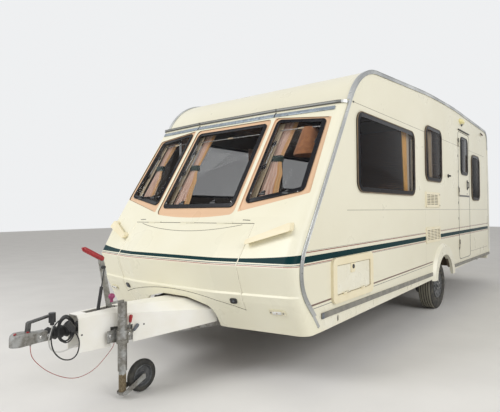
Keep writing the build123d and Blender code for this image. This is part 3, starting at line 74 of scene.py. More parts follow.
def addCamera(settings):
    yaw, pitch, roll = (radians(settings[name]) for name in ("yaw", "pitch", "roll"))
    ahead = Vector((-sin(yaw) * cos(pitch), cos(yaw) * cos(pitch), sin(pitch)))
    flatRight = Vector((cos(yaw), sin(yaw), 0))
    flatUp = flatRight.cross(ahead)
    right = flatRight * cos(roll) + flatUp * sin(roll)
    up = right.cross(ahead)
    bpy.ops.object.camera_add()
    camera = bpy.context.object
    camera.name = "photoCamera"
    wide, high = settings["frame"]
    camera.data.sensor_width = 36
    camera.data.sensor_fit = "HORIZONTAL"
    camera.data.lens = settings["focalPixels"] / wide * 36
    camera.data.shift_x = -(settings["centrePixel"][0] - wide / 2) / wide
    camera.data.shift_y = (settings["centrePixel"][1] - high / 2) / wide
    turn = Matrix((right, up, -ahead)).transposed().to_4x4()
    turn.translation = Vector(settings["place"])
    camera.matrix_world = turn
    bpy.context.scene.camera = camera


addCamera(view)
print("camera set")


# Material helpers
def newFinish(name, colour, roughness, metallic=0.0, coat=0.0, coatRoughness=0.08):
    material = bpy.data.materials.new(name)
    material.use_nodes = True
    shader = material.node_tree.nodes["Principled BSDF"]
    shader.inputs["Base Color"].default_value = (*colour, 1)
    shader.inputs["Roughness"].default_value = roughness
    shader.inputs["Metallic"].default_value = metallic
    shader.inputs["Coat Weight"].default_value = coat
    shader.inputs["Coat Roughness"].default_value = coatRoughness
    return material


def shaderOf(material):
    return material.node_tree.nodes["Principled BSDF"]


def objectPlace(material):
    tree = material.node_tree
    found = tree.nodes.get("objectPlace")
    if not found:
        found = tree.nodes.new("ShaderNodeTexCoord")
        found.name = "objectPlace"
    return found.outputs["Object"]


def noiseValue(material, scale, detail=3.0, stretch=(1, 1, 1)):
    tree = material.node_tree
    mapping = tree.nodes.new("ShaderNodeMapping")
    mapping.inputs["Scale"].default_value = stretch
    noise = tree.nodes.new("ShaderNodeTexNoise")
    noise.inputs["Scale"].default_value = scale
    noise.inputs["Detail"].default_value = detail
    tree.links.new(objectPlace(material), mapping.inputs["Vector"])
    tree.links.new(mapping.outputs["Vector"], noise.inputs["Vector"])
    return noise.outputs["Fac"]


def rampColour(material, value, stops, interpolation="LINEAR"):
    ramp = material.node_tree.nodes.new("ShaderNodeValToRGB")
    ramp.color_ramp.interpolation = interpolation
    elements = ramp.color_ramp.elements
    while len(elements) < len(stops):
        elements.new(0.5)
    for element, (place, colour) in zip(elements, stops):
        element.position = place
        element.color = (*colour, 1) if len(colour) == 3 else colour
    material.node_tree.links.new(value, ramp.inputs["Fac"])
    return ramp.outputs["Color"]


def sums(material, kind, first, second=None, third=None):
    # One math node on values or sockets
    node = material.node_tree.nodes.new("ShaderNodeMath")
    node.operation = kind
    for index, given in enumerate((first, second, third)):
        if given is None:
            continue
        if isinstance(given, (int, float)):
            node.inputs[index].default_value = given
        else:
            material.node_tree.links.new(given, node.inputs[index])
    return node.outputs["Value"]


def between(material, value, low, high):
    over, under = sums(material, "GREATER_THAN", value, low), sums(material, "LESS_THAN", value, high)
    return sums(material, "MULTIPLY", over, under)


def lengthOf(material, first, second):
    # Length of the line with two sides at a right angle
    squares = sums(material, "MULTIPLY", first, first), sums(material, "MULTIPLY", second, second)
    return sums(material, "SQRT", sums(material, "ADD", *squares))


def mixColour(material, factor, first, second, blend="MIX"):
    node = material.node_tree.nodes.new("ShaderNodeMix")
    node.data_type = "RGBA"
    node.blend_type = blend
    node.clamp_factor = True
    for socket, given in ((node.inputs["Factor"], factor), (node.inputs[6], first), (node.inputs[7], second)):
        if isinstance(given, (int, float)):
            socket.default_value = given
        elif isinstance(given, tuple):
            socket.default_value = (*given, 1)
        else:
            material.node_tree.links.new(given, socket)
    return node.outputs[2]


def axes(material):
    split = material.node_tree.nodes.new("ShaderNodeSeparateXYZ")
    material.node_tree.links.new(objectPlace(material), split.inputs["Vector"])
    return split.outputs


def colourFrom(material, socket):
    material.node_tree.links.new(socket, shaderOf(material).inputs["Base Color"])


def spreadRoughness(material, low, high, scale):
    value = noiseValue(material, scale)
    mapped = material.node_tree.nodes.new("ShaderNodeMapRange")
    mapped.inputs["From Min"].default_value = 0.3
    mapped.inputs["From Max"].default_value = 0.7
    mapped.inputs["To Min"].default_value = low
    mapped.inputs["To Max"].default_value = high
    material.node_tree.links.new(value, mapped.inputs["Value"])
    material.node_tree.links.new(mapped.outputs["Result"], shaderOf(material).inputs["Roughness"])


def addBump(material, height, strength, distance):
    bump = material.node_tree.nodes.new("ShaderNodeBump")
    bump.inputs["Strength"].default_value = strength
    bump.inputs["Distance"].default_value = distance
    material.node_tree.links.new(height, bump.inputs["Height"])
    before = shaderOf(material).inputs["Normal"].links
    if before:
        material.node_tree.links.new(before[0].from_socket, bump.inputs["Normal"])
    material.node_tree.links.new(bump.outputs["Normal"], shaderOf(material).inputs["Normal"])


def mottled(name, light, dark, roughness, scale, metallic=0.0, coat=0.0, reach=(0.35, 0.65), grain=0.0,
            grainScale=400):
    # Finish that drifts between two close colours
    material = newFinish(name, light, roughness, metallic, coat)
    colourFrom(material,
               rampColour(material, noiseValue(material, scale, 5.0), [(reach[0], dark), (reach[1], light)]))
    spreadRoughness(material, max(roughness - 0.06, 0.03), roughness + 0.08, scale * 1.7)
    if grain:
        addBump(material, noiseValue(material, grainScale, 2.0), grain, 0.0006)
    return material


# Paint of the walls: ivory with the bands painted on, by station and height
wallPaint = {
    "ivory": (0.83, 0.80, 0.65),
    "ivoryShade": (0.80, 0.765, 0.61),
    "green": (0.005, 0.034, 0.038),
    "red": (0.22, 0.035, 0.035),
    "pink": (0.36, 0.13, 0.12),
    "brown": (0.20, 0.125, 0.105),
    "grey": (0.20, 0.20, 0.19),
    "seam": (0.22, 0.20, 0.15),
    "lining": (0.15, 0.12, 0.09),
}
# Columns: height of the lower edge at the gutter, rise per metre, width, first station, last station, colour
wallBands = [
    (0.885, 0.0047, 0.0455, -900, 5300, "green"),
    (0.8705, 0.0047, 0.0060, -900, 5300, "pink"),
    (0.8640, 0.0047, 0.0035, -900, 5300, "grey"),
    (0.9555, 0.0080, 0.0065, -900, 5300, "red"),
    (0.9660, 0.0080, 0.0030, -900, 5300, "grey"),
    (0.5850, 0.01745, 0.0110, -700, 2125, "brown"),
    (0.5830, 0.01745, 0.0025, -700, 2125, "seam"),
    (0.5610, 0.01745, 0.0050, -700, 2125, "grey"),
    (0.6090, 0.0, 0.0055, 3935, 5100, "seam"),
    (2.1370, 0.0, 0.0045, 120, 4950, "seam"),
    (1.2430, 0.0, 0.0040, -10, 5200, "seam"),
]
# Upright joints between sheets of the skin, columns: station, foot height, head height
wallJoints = [(1885, 0.60, 0.86), (1885, 1.04, 1.27), (2398, 0.60, 0.86), (2398, 1.04, 1.27)]


def paintBands(material, base):
    where = axes(material)
    along = sums(material, "SUBTRACT", where["Y"], van["gutterY"])
    for low, rise, width, first, last, colour in wallBands:
        height = sums(material, "SUBTRACT", where["Z"],
                      sums(material, "MULTIPLY", along, rise)) if rise else where["Z"]
        mask = sums(material, "MULTIPLY", between(material, height, low, low + width),
                    between(material, along, first / 1000, last / 1000))
        base = mixColour(material, mask, base, wallPaint[colour])
        if colour == "green":
            shine = sums(material, "SUBTRACT", 0.28, sums(material, "MULTIPLY", mask, 0.24))
            material.node_tree.links.new(shine, shaderOf(material).inputs["Specular IOR Level"])
    for station, foot, head in wallJoints:
        near = sums(material, "LESS_THAN",
                    sums(material, "ABSOLUTE", sums(material, "SUBTRACT", along, station / 1000)), 0.0012)
        mask = sums(material, "MULTIPLY", near, between(material, where["Z"], foot, head))
        base = mixColour(material, sums(material, "MULTIPLY", mask, 0.6), base, wallPaint["seam"])
    return base


def insideMask(material):
    # One on the faces that look into the cabin
    tree = material.node_tree
    away = tree.nodes.new("ShaderNodeVectorMath")
    away.operation = "SUBTRACT"
    away.inputs[1].default_value = (0, 0, 1.5)
    tree.links.new(objectPlace(material), away.inputs[0])
    facing = tree.nodes.new("ShaderNodeVectorMath")
    facing.operation = "DOT_PRODUCT"
    tree.links.new(away.outputs["Vector"], facing.inputs[0])
    tree.links.new(tree.nodes["objectPlace"].outputs["Normal"], facing.inputs[1])
    return sums(material, "LESS_THAN", facing.outputs["Value"], 0.0)


def wallMaterial():
    material = newFinish("ivoryWallPaint", wallPaint["ivory"], 0.30)
    cloud = rampColour(material, noiseValue(material, 1.3, 4.0),
                       [(0.35, wallPaint["ivoryShade"]), (0.65, wallPaint["ivory"])])
    painted = paintBands(material, cloud)
    colourFrom(material, mixColour(material, insideMask(material), painted, wallPaint["lining"]))
    spreadRoughness(material, 0.26, 0.36, 3.0)
    addBump(material, noiseValue(material, 1.6, 0.0), 0.05, 0.01)
    return material


# Moulded front: the green band thins out towards the middle, two thin lines lie under it
frontPaint = {
    "cream": (0.87, 0.845, 0.69),
    "creamShade": (0.84, 0.805, 0.63),
    "recess": (0.78, 0.52, 0.33),
    "bandLow": 0.887,
    "bandMiddle": 0.023,
    "bandCorner": 0.050,
    "bandSpread": (0.55, 1.9),  # where the band starts to widen, and how fast
    "lines": ((0.8735, 0.0060, "grey"), (0.8645, 0.0050, "pink")),
    "swageShadeBelowZ": 1.16,
    "swageShadeArc": (4.448, 3.36, 0.60),  # centre height, radius, half width of the swage under the lid's top
}
# Edges of the recess round the windows
recess = {
    "middleHalf": 0.424,
    "middleFoot": 1.260,
    "middleHead": 2.002,
    "middleRound": 0.0385,
    "bow": (0.462, 0.027),  # half width and depth of the foot's bow
    "pillarX": 0.497,
    "sill": (1.240, 0.2272),  # height at the pillar, rise per metre outwards
    "head": (2.046, 0.0984),  # height at the pillar, fall per metre outwards
    "outer": (1.078, 1.372, 0.0516),  # x at a height, that height, lean per metre upwards
    "sideRound": 0.018,
    "lowestZ": 1.18,
}


def recessMask(material, where):
    # One in the recess round the windows: a rounded rectangle and a slanted corner field on each side
    outward = sums(material, "ABSOLUTE", where["X"])
    acrossGap = sums(material, "MAXIMUM", sums(material, "SUBTRACT", outward, recess["middleHalf"]), 0.0)
    bowHalf, bowDepth = recess["bow"]
    share = sums(material, "DIVIDE", outward, bowHalf)
    bow = sums(material, "MULTIPLY",
               sums(material, "SUBTRACT", 1.0, sums(material, "MULTIPLY", share, share)), bowDepth)
    below = sums(material, "SUBTRACT", sums(material, "SUBTRACT", recess["middleFoot"], bow), where["Z"])
    above = sums(material, "SUBTRACT", where["Z"], recess["middleHead"])
    heightGap = sums(material, "MAXIMUM", sums(material, "MAXIMUM", below, above), 0.0)
    centre = sums(material, "LESS_THAN", lengthOf(material, acrossGap, heightGap), recess["middleRound"])
    fromPillar = sums(material, "SUBTRACT", outward, recess["pillarX"])
    sillZ, sillRise = recess["sill"]
    sill = sums(material, "ADD", sums(material, "MULTIPLY", fromPillar, sillRise), sillZ)
    headZ, headFall = recess["head"]
    head = sums(material, "SUBTRACT", headZ, sums(material, "MULTIPLY", fromPillar, headFall))
    outerX, outerZ, outerLean = recess["outer"]
    lean = sums(material, "MULTIPLY", sums(material, "SUBTRACT", where["Z"], outerZ), outerLean)
    outer = sums(material, "SUBTRACT", outerX, lean)
    gaps = [sums(material, "SUBTRACT", 0.0, fromPillar), sums(material, "SUBTRACT", sill, where["Z"]),
            sums(material, "SUBTRACT", where["Z"], head), sums(material, "SUBTRACT", outward, outer)]
    worst = gaps[0]
    for gap in gaps[1:]:
        worst = sums(material, "SMOOTH_MAX", worst, gap, recess["sideRound"])
    side = sums(material, "LESS_THAN", worst, 0.001)
    glazed = sums(material, "GREATER_THAN", where["Z"], recess["lowestZ"])
    return sums(material, "MULTIPLY", sums(material, "MAXIMUM", centre, side), glazed)


def frontMaterial():
    material = newFinish("creamFrontMoulding", frontPaint["cream"], 0.28)
    where = axes(material)
    outward = sums(material, "ABSOLUTE", where["X"])
    base = rampColour(material, noiseValue(material, 1.6, 4.0),
                      [(0.35, frontPaint["creamShade"]), (0.65, frontPaint["cream"])])
    startX, growth = frontPaint["bandSpread"]
    beyond = sums(material, "SUBTRACT", outward, startX)
    spread = sums(material, "MAXIMUM", sums(material, "MULTIPLY", beyond, growth), 0.0)
    grown = sums(material, "MULTIPLY", sums(material, "MULTIPLY", spread, spread),
                 frontPaint["bandCorner"] - frontPaint["bandMiddle"])
    top = sums(material, "ADD", grown, frontPaint["bandLow"] + frontPaint["bandMiddle"])
    band = sums(material, "MULTIPLY", sums(material, "GREATER_THAN", where["Z"], frontPaint["bandLow"]),
                sums(material, "LESS_THAN", where["Z"], top))
    base = mixColour(material, band, base, wallPaint["green"])
    shine = sums(material, "SUBTRACT", 0.3, sums(material, "MULTIPLY", band, 0.25))
    material.node_tree.links.new(shine, shaderOf(material).inputs["Specular IOR Level"])
    for low, width, colour in frontPaint["lines"]:
        base = mixColour(material, between(material, where["Z"], low, low + width), base, wallPaint[colour])
    # A dark line along the swage under the lid's top: painted shade in its crease
    arcZ, arcRadius, arcHalf = frontPaint["swageShadeArc"]
    fall = sums(material, "SUBTRACT", where["Z"], arcZ)
    ring = lengthOf(material, where["X"], fall)
    line = between(material, ring, arcRadius - 0.0022, arcRadius + 0.0022)
    swageShade = sums(material, "MULTIPLY", line, sums(material, "LESS_THAN", outward, arcHalf))
    swageShade = sums(material, "MULTIPLY", swageShade,
                  sums(material, "LESS_THAN", where["Z"], frontPaint["swageShadeBelowZ"]))
    base = mixColour(material, swageShade, base, wallPaint["seam"])
    base = mixColour(material, recessMask(material, where), base, frontPaint["recess"])
    colourFrom(material, mixColour(material, insideMask(material), base, wallPaint["lining"]))
    spreadRoughness(material, 0.24, 0.34, 3.0)
    addBump(material, noiseValue(material, 1.5, 0.0), 0.05, 0.01)
    return material


# Metals, rubber and plastics
def zincMaterial(name="galvanisedSteel", light=(0.42, 0.43, 0.42), dark=(0.22, 0.225, 0.22)):
    material = newFinish(name, light, 0.45, metallic=0.75)
    tree = material.node_tree
    cells = tree.nodes.new("ShaderNodeTexVoronoi")
    cells.inputs["Scale"].default_value = 90
    tree.links.new(objectPlace(material), cells.inputs["Vector"])
    spangle = rampColour(material, cells.outputs["Color"], [(0.1, dark), (0.9, light)])
    stain = rampColour(material, noiseValue(material, 14, 6.0),
                       [(0.44, (0.16, 0.13, 0.09)), (0.62, (0.5, 0.5, 0.49))])
    colourFrom(material, mixColour(material, 0.45, spangle, stain))
    spreadRoughness(material, 0.35, 0.62, 25)
    addBump(material, noiseValue(material, 220, 3.0), 0.25, 0.0006)
    return material


def rustyMaterial():
    # Zinc that is rusting away towards its foot
    material = newFinish("rustyJockeyTube", (0.2, 0.15, 0.1), 0.6, metallic=0.35)
    where = axes(material)
    drop = material.node_tree.nodes.new("ShaderNodeMapRange")
    for name, value in (("From Min", 0.12), ("From Max", 0.20), ("To Min", 0.75), ("To Max", -0.1)):
        drop.inputs[name].default_value = value
    material.node_tree.links.new(where["Z"], drop.inputs["Value"])
    patch = sums(material, "ADD", drop.outputs["Result"],
                 sums(material, "MULTIPLY", noiseValue(material, 45, 6.0), 0.5))
    rust = rampColour(material, noiseValue(material, 120, 5.0),
                      [(0.35, (0.11, 0.075, 0.042)), (0.65, (0.25, 0.205, 0.125))])
    zinc = rampColour(material, noiseValue(material, 30, 5.0),
                      [(0.35, (0.26, 0.27, 0.26)), (0.7, (0.45, 0.46, 0.45))])
    colourFrom(material, mixColour(material, sums(material, "GREATER_THAN", patch, 0.55), zinc, rust))
    spreadRoughness(material, 0.45, 0.75, 60)
    addBump(material, noiseValue(material, 260, 4.0), 0.5, 0.0012)
    return material


def rubberMaterial(name, colour, roughness=0.62, dust=(0.10, 0.095, 0.08)):
    material = newFinish(name, colour, roughness)
    colourFrom(material, rampColour(material, noiseValue(material, 18, 6.0), [(0.42, colour), (0.75, dust)]))
    spreadRoughness(material, roughness - 0.1, roughness + 0.15, 30)
    addBump(material, noiseValue(material, 500, 2.0), 0.2, 0.0004)
    return material


def glassMaterial(name="smokedAcrylic", alpha=0.16):
    # Smoked acrylic: the room shows through it, a little dimmed
    material = newFinish(name, (0.010, 0.010, 0.013), 0.03)
    shader = shaderOf(material)
    shader.inputs["Alpha"].default_value = alpha
    shader.inputs["IOR"].default_value = 1.49
    shader.inputs["Specular IOR Level"].default_value = 0.35
    return material


def woodMaterial():
    material = newFinish("brownLockerWood", (0.26, 0.12, 0.05), 0.38, coat=0.2)
    tree = material.node_tree
    wave = tree.nodes.new("ShaderNodeTexWave")
    wave.bands_direction = "Z"
    wave.inputs["Scale"].default_value = 14
    wave.inputs["Distortion"].default_value = 7
    wave.inputs["Detail"].default_value = 3
    tree.links.new(objectPlace(material), wave.inputs["Vector"])
    colourFrom(material,
               rampColour(material, wave.outputs["Fac"],
                          [(0.2, (0.16, 0.07, 0.03)), (0.8, (0.36, 0.17, 0.07))]))
    addBump(material, wave.outputs["Fac"], 0.1, 0.0008)
    return material


def clothMaterial(name, first, second, threads=900, stripe=0):
    # Woven cloth, with soft stripes along its width where stripe isn't nought
    material = newFinish(name, first, 0.85)
    shaderOf(material).inputs["Sheen Weight"].default_value = 0.3
    base = rampColour(material, noiseValue(material, 30, 6.0), [(0.4, second), (0.65, first)])
    if stripe:
        wave = material.node_tree.nodes.new("ShaderNodeTexWave")
        wave.bands_direction = "X"
        wave.inputs["Scale"].default_value = stripe
        wave.inputs["Distortion"].default_value = 2.5
        wave.inputs["Detail"].default_value = 2
        link = material.node_tree.nodes.new("ShaderNodeTexCoord")
        material.node_tree.links.new(link.outputs["UV"], wave.inputs["Vector"])
        base = mixColour(material, sums(material, "MULTIPLY", wave.outputs["Fac"], 0.7), base, second)
    colourFrom(material, base)
    checker = material.node_tree.nodes.new("ShaderNodeTexChecker")
    checker.inputs["Scale"].default_value = threads
    material.node_tree.links.new(objectPlace(material), checker.inputs["Vector"])
    addBump(material, checker.outputs["Fac"], 0.25, 0.0004)
    return material


# The gutter over the front windows, and the painted rear corners
railPaint = {
    "gutterZ": (2.108, 2.1355),
    "gutterFaceZ": (2.1165, 2.1300),
    "gutterHalf": 1.09,
    "gutterRearY": -1.5,
    "paintedFromY": 3.50,
    "paintedBelowZ": 2.28,
}


def railMaterial():
    material = newFinish("anodisedRail", (0.52, 0.53, 0.53), 0.33, metallic=0.7)
    streak = noiseValue(material, 9, 4.0, stretch=(1, 0.25, 0.25))
    metal = rampColour(material, streak, [(0.35, (0.36, 0.37, 0.37)), (0.65, (0.62, 0.63, 0.62))])
    where = axes(material)
    # The gutter is dull and has a dark line on each side
    inside = sums(material, "LESS_THAN", sums(material, "ABSOLUTE", where["X"]), railPaint["gutterHalf"])
    gutter = sums(material, "MULTIPLY", between(material, where["Z"], *railPaint["gutterZ"]), inside)
    gutter = sums(material, "MULTIPLY", gutter,
                  sums(material, "LESS_THAN", where["Y"], railPaint["gutterRearY"]))
    offFace = sums(material, "SUBTRACT", 1.0, between(material, where["Z"], *railPaint["gutterFaceZ"]))
    line = sums(material, "MULTIPLY", gutter, offFace)
    metal = mixColour(material, gutter, metal, (0.23, 0.235, 0.22))
    metal = mixColour(material, line, metal, (0.035, 0.035, 0.033))
    # Painted white where it runs down the rear corners
    atRear = sums(material, "GREATER_THAN", where["Y"], railPaint["paintedFromY"])
    painted = sums(material, "MULTIPLY", atRear,
                   sums(material, "LESS_THAN", where["Z"], railPaint["paintedBelowZ"]))
    colourFrom(material, mixColour(material, painted, metal, (0.86, 0.845, 0.76)))
    dull = sums(material, "MAXIMUM", painted, gutter)
    shine = sums(material, "SUBTRACT", 0.7, sums(material, "MULTIPLY", dull, 0.6))
    material.node_tree.links.new(shine, shaderOf(material).inputs["Metallic"])
    spreadRoughness(material, 0.26, 0.42, 40)
    return material


ventFace = {
    "insideX": 1.1345,  # louvre slots lie behind this plane
    "rows": ((1.292, 1.430), (0.880, 1.016)),
    "stations": (1907, 2378),
}


def ventMaterial():
    # Aged cream, with painted shade in the slots between the louvres
    material = mottled("ventCream", (0.87, 0.81, 0.62), (0.83, 0.75, 0.54), 0.42, 6, grain=0.05)
    where = axes(material)
    base = shaderOf(material).inputs["Base Color"].links[0].from_socket
    # Faces behind the louvres' front plane get painted shade
    deep = sums(material, "LESS_THAN", sums(material, "ABSOLUTE", where["X"]), ventFace["insideX"])
    rows = sums(material, "MAXIMUM", *(between(material, where["Z"], *row) for row in ventFace["rows"]))
    span = between(material, where["Y"], *(stationY(station) for station in ventFace["stations"]))
    mask = sums(material, "MULTIPLY", sums(material, "MULTIPLY", deep, rows), span)
    colourFrom(material,
               mixColour(material, sums(material, "MULTIPLY", mask, 0.85), base, (0.13, 0.10, 0.065)))
    return material


finishes = {
    "body_cream": wallMaterial(),
    "front_moulding": frontMaterial(),
    "trim_cream": mottled("ivoryTrim", (0.86, 0.835, 0.70), (0.82, 0.785, 0.63), 0.3, 5, coat=0.2,
                          grain=0.08),
    "rail_aluminium": railMaterial(),
    "strip_grey": mottled("greyRubbingStrip", (0.27, 0.26, 0.225), (0.19, 0.185, 0.165), 0.5, 12, grain=0.2),
    "window_tint": glassMaterial(),
    "lamp_lens": mottled("ivoryLampBase", (0.80, 0.76, 0.60), (0.72, 0.67, 0.50), 0.35, 30),
    "steel_galvanised": zincMaterial(),
    "steel_painted": zincMaterial("weatheredZinc", (0.40, 0.41, 0.40), (0.25, 0.255, 0.25)),
    "casting_dark": mottled("darkCasting", (0.11, 0.11, 0.105), (0.05, 0.05, 0.05), 0.55, 40, metallic=0.5,
                            grain=0.4, grainScale=200),
    "tyre_rubber": rubberMaterial("dustyTyreRubber", (0.022, 0.022, 0.021), 0.7, (0.085, 0.08, 0.066)),
    "gaiter_rubber": rubberMaterial("gaiterRubber", (0.015, 0.015, 0.016), 0.55, (0.04, 0.04, 0.038)),
    "rim_steel": mottled("greyWheelPaint", (0.16, 0.165, 0.17), (0.07, 0.07, 0.072), 0.42, 22, metallic=0.45,
                         grain=0.15),
    "fairing_plastic": mottled("whiteFairing", (0.94, 0.93, 0.88), (0.90, 0.88, 0.80), 0.36, 6, coat=0.1,
                               grain=0.1),
    "vent_cream": ventMaterial(),
    "door_furniture": mottled("blackPlastic", (0.018, 0.018, 0.02), (0.035, 0.035, 0.036), 0.4, 30,
                              grain=0.15),
    "cord_black": rubberMaterial("blackCordSheath", (0.012, 0.012, 0.014), 0.42, (0.04, 0.04, 0.04)),
    "cord_grey": rubberMaterial("paleGreyCordSheath", (0.72, 0.72, 0.70), 0.45, (0.55, 0.54, 0.50)),
    "cable_red": mottled("redSheathedCable", (0.42, 0.05, 0.04), (0.28, 0.03, 0.03), 0.4, 60),
    "floor_board": mottled("floorBoard", (0.17, 0.13, 0.09), (0.10, 0.08, 0.06), 0.7, 9, grain=0.3),
    "furniture_wood": woodMaterial(),
    "cushion_fabric": clothMaterial("greenCushionCloth", (0.11, 0.16, 0.12), (0.30, 0.24, 0.13)),
    "curtain_fabric": clothMaterial("peachCurtainCloth", (0.66, 0.42, 0.24), (0.45, 0.24, 0.16), stripe=9),
}
for name, obj in nodes.items():
    slots = obj.data.materials
    for index, old in enumerate(slots):
        base = old.name.split(".")[0] if old else ""
        if base in finishes:
            slots[index] = finishes[base]
print("materials made:", len(finishes))


# Modelling helpers
def clearSelection():
    if bpy.context.object and bpy.context.object.mode != "OBJECT":
        bpy.ops.object.mode_set(mode="OBJECT")
    bpy.ops.object.select_all(action="DESELECT")


def takeNew(name):
    # Names the newest primitive and applies its place
    piece = bpy.context.object
    piece.name = name
    piece.data.name = name
    bpy.ops.object.transform_apply(location=True, rotation=True, scale=True)
    return piece


def activate(piece):
    clearSelection()
    piece.select_set(True)
    bpy.context.view_layer.objects.active = piece


def pickFaces(piece, test):
    # Leaves edit mode on with the faces that pass the test selected
    activate(piece)
    bpy.ops.object.mode_set(mode="EDIT")
    bpy.ops.mesh.select_mode(type="FACE")
    bpy.ops.mesh.select_all(action="DESELECT")
    bpy.ops.object.mode_set(mode="OBJECT")
    for face in piece.data.polygons:
        face.select = bool(test(face.center, face.normal))
    bpy.ops.object.mode_set(mode="EDIT")


def endEdit():
    if bpy.context.object.mode != "OBJECT":
        bpy.ops.object.mode_set(mode="OBJECT")


def applyModifiers(piece):
    activate(piece)
    for modifier in list(piece.modifiers):
        bpy.ops.object.modifier_apply(modifier=modifier.name)


def bevelPiece(piece, width, segments=2, angle=35):
    modifier = piece.modifiers.new("edges", "BEVEL")
    modifier.width = width
    modifier.segments = segments
    modifier.limit_method = "ANGLE"
    modifier.angle_limit = radians(angle)
    applyModifiers(piece)


def outwardNormals(piece):
    activate(piece)
    bpy.ops.object.mode_set(mode="EDIT")
    bpy.ops.mesh.select_all(action="SELECT")
    bpy.ops.mesh.remove_doubles(threshold=0.00002)
    bpy.ops.mesh.normals_make_consistent(inside=False)
    endEdit()


def finishPiece(piece, body, smooth=35):
    activate(piece)
    bpy.ops.object.shade_smooth_by_angle(angle=radians(smooth))
    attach(piece, body)
    return piece


def addBlock(name, low, high, bevel=0.0, segments=2):
    clearSelection()
    middle = [(a + b) / 2 for a, b in zip(low, high)]
    bpy.ops.mesh.primitive_cube_add(size=1, location=middle, scale=[b - a for a, b in zip(low, high)])
    piece = takeNew(name)
    if bevel:
        bevelPiece(piece, bevel, segments)
    return piece


def addRod(name, start, end, radius, sides=20, bevel=0.0, endRadius=None):
    clearSelection()
    start, end = Vector(start), Vector(end)
    run = end - start
    turn = run.to_track_quat("Z", "Y").to_euler()
    bpy.ops.mesh.primitive_cone_add(vertices=sides, radius1=radius,
                                    radius2=radius if endRadius is None else endRadius,
                                    depth=run.length, location=(start + end) / 2, rotation=turn)
    piece = takeNew(name)
    if bevel:
        bevelPiece(piece, bevel, 2, 50)
    return piece


def addSpun(name, section, centre, axis, steps=64):
    # A closed outline of (along the axis, away from it), spun round the axis through the centre
    clearSelection()
    bpy.ops.mesh.primitive_circle_add(vertices=len(section), fill_type="NOTHING")
    piece = takeNew(name)
    axis = Vector(axis).normalized()
    away = axis.orthogonal().normalized()
    for vertex, (along, out) in zip(piece.data.vertices, section):
        vertex.co = Vector(centre) + axis * along + away * out
    bpy.ops.object.mode_set(mode="EDIT")
    bpy.ops.mesh.select_all(action="SELECT")
    bpy.ops.mesh.spin(steps=steps, angle=2 * pi, center=centre, axis=axis)
    endEdit()
    outwardNormals(piece)
    return piece


def joinPieces(name, pieces):
    activate(pieces[0])
    for piece in pieces[1:]:
        piece.select_set(True)
    bpy.ops.object.join()
    joined = bpy.context.object
    joined.name = name
    joined.data.name = name
    return joined


def dressed(piece, material, body, smooth=35):
    piece.data.materials.clear()
    piece.data.materials.append(material)
    return finishPiece(piece, body, smooth=smooth)


def dressedGroup(name, pieces, material, body, smooth=35):
    return dressed(joinPieces(name, pieces), material, body, smooth)


def newLine(name, kind, points, radius, bevelResolution):
    # Round line through points, with closed ends
    curve = bpy.data.curves.new(name, "CURVE")
    curve.dimensions = "3D"
    curve.bevel_depth = radius
    curve.bevel_resolution = bevelResolution
    curve.use_fill_caps = True
    spline = curve.splines.new(kind)
    spline.points.add(len(points) - 1)
    for target, place in zip(spline.points, points):
        target.co = (*place, 1)
    line = bpy.data.objects.new(name, curve)
    bpy.context.scene.collection.objects.link(line)
    return line


# Cords, each on its own smooth line through the route's points
def addCord(name, points, diameter, slot):
    cord = newLine(name, "NURBS", points, diameter / 2, 3)
    cord.data.resolution_u = 6
    cord.data.splines[0].order_u = 3
    cord.data.splines[0].use_endpoint_u = True
    cord.data.materials.append(finishes[slot])
    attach(cord, "caravan")
    return cord


cableRoute = [
    (0.022, -3.531, 0.455), (0.022, -3.531, 0.410), (0.018, -3.506, 0.361), (0.011, -3.471, 0.320),
    (0.003, -3.433, 0.281), (-0.006, -3.390, 0.246), (-0.017, -3.346, 0.216), (-0.029, -3.299, 0.188),
    (-0.043, -3.250, 0.165), (-0.058, -3.201, 0.150), (-0.076, -3.152, 0.143), (-0.097, -3.100, 0.141),
    (-0.109, -3.048, 0.151), (-0.116, -2.999, 0.178), (-0.115, -2.957, 0.214), (-0.107, -2.923, 0.252),
    (-0.088, -2.906, 0.294), (-0.088, -2.906, 0.335),
]
breakaway = addCord("breakawayCable", cableRoute, 0.004, "cable_red")
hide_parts("breakaway_cable")

greyRoute = [
    (0.040, -3.084, 0.430), (0.040, -3.132, 0.430), (0.043, -3.184, 0.420), (0.049, -3.238, 0.406),
    (0.057, -3.292, 0.394), (0.063, -3.344, 0.386), (0.066, -3.396, 0.388), (0.066, -3.434, 0.414),
    (0.064, -3.446, 0.458), (0.061, -3.438, 0.504), (0.060, -3.422, 0.532), (0.060, -3.422, 0.562),
]
greyLead = addCord("greyLead", greyRoute, 0.008, "cord_grey")
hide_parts("grey_lead")

# The black lead: tail from its gland, turns of the hank, a loop below, and up to its plug
blackLead = {
    "tail": [(0.050, -3.084, 0.480), (0.050, -3.126, 0.480), (0.051, -3.176, 0.484), (0.052, -3.228, 0.494),
             (0.052, -3.274, 0.526)],
    "turns": 6,
    "pointsPerTurn": 14,
    "centre": (-3.340, 0.520),  # y and z of the hank's middle
    "halfSpan": (0.050, 0.080),  # half width and half height of a turn's line
    "startAngle": 0.9,
    "extraSteps": 2,
    "firstX": 0.051,
    "lastX": 0.075,
    "loop": [
        (0.077, -3.392, 0.584), (0.080, -3.424, 0.553), (0.083, -3.440, 0.508), (0.087, -3.440, 0.450),
        (0.091, -3.424, 0.396), (0.097, -3.384, 0.350), (0.102, -3.336, 0.333),
        (0.106, -3.300, 0.346), (0.108, -3.281, 0.384), (0.108, -3.276, 0.432), (0.108, -3.288, 0.474),
        (0.108, -3.312, 0.508),
    ],
}


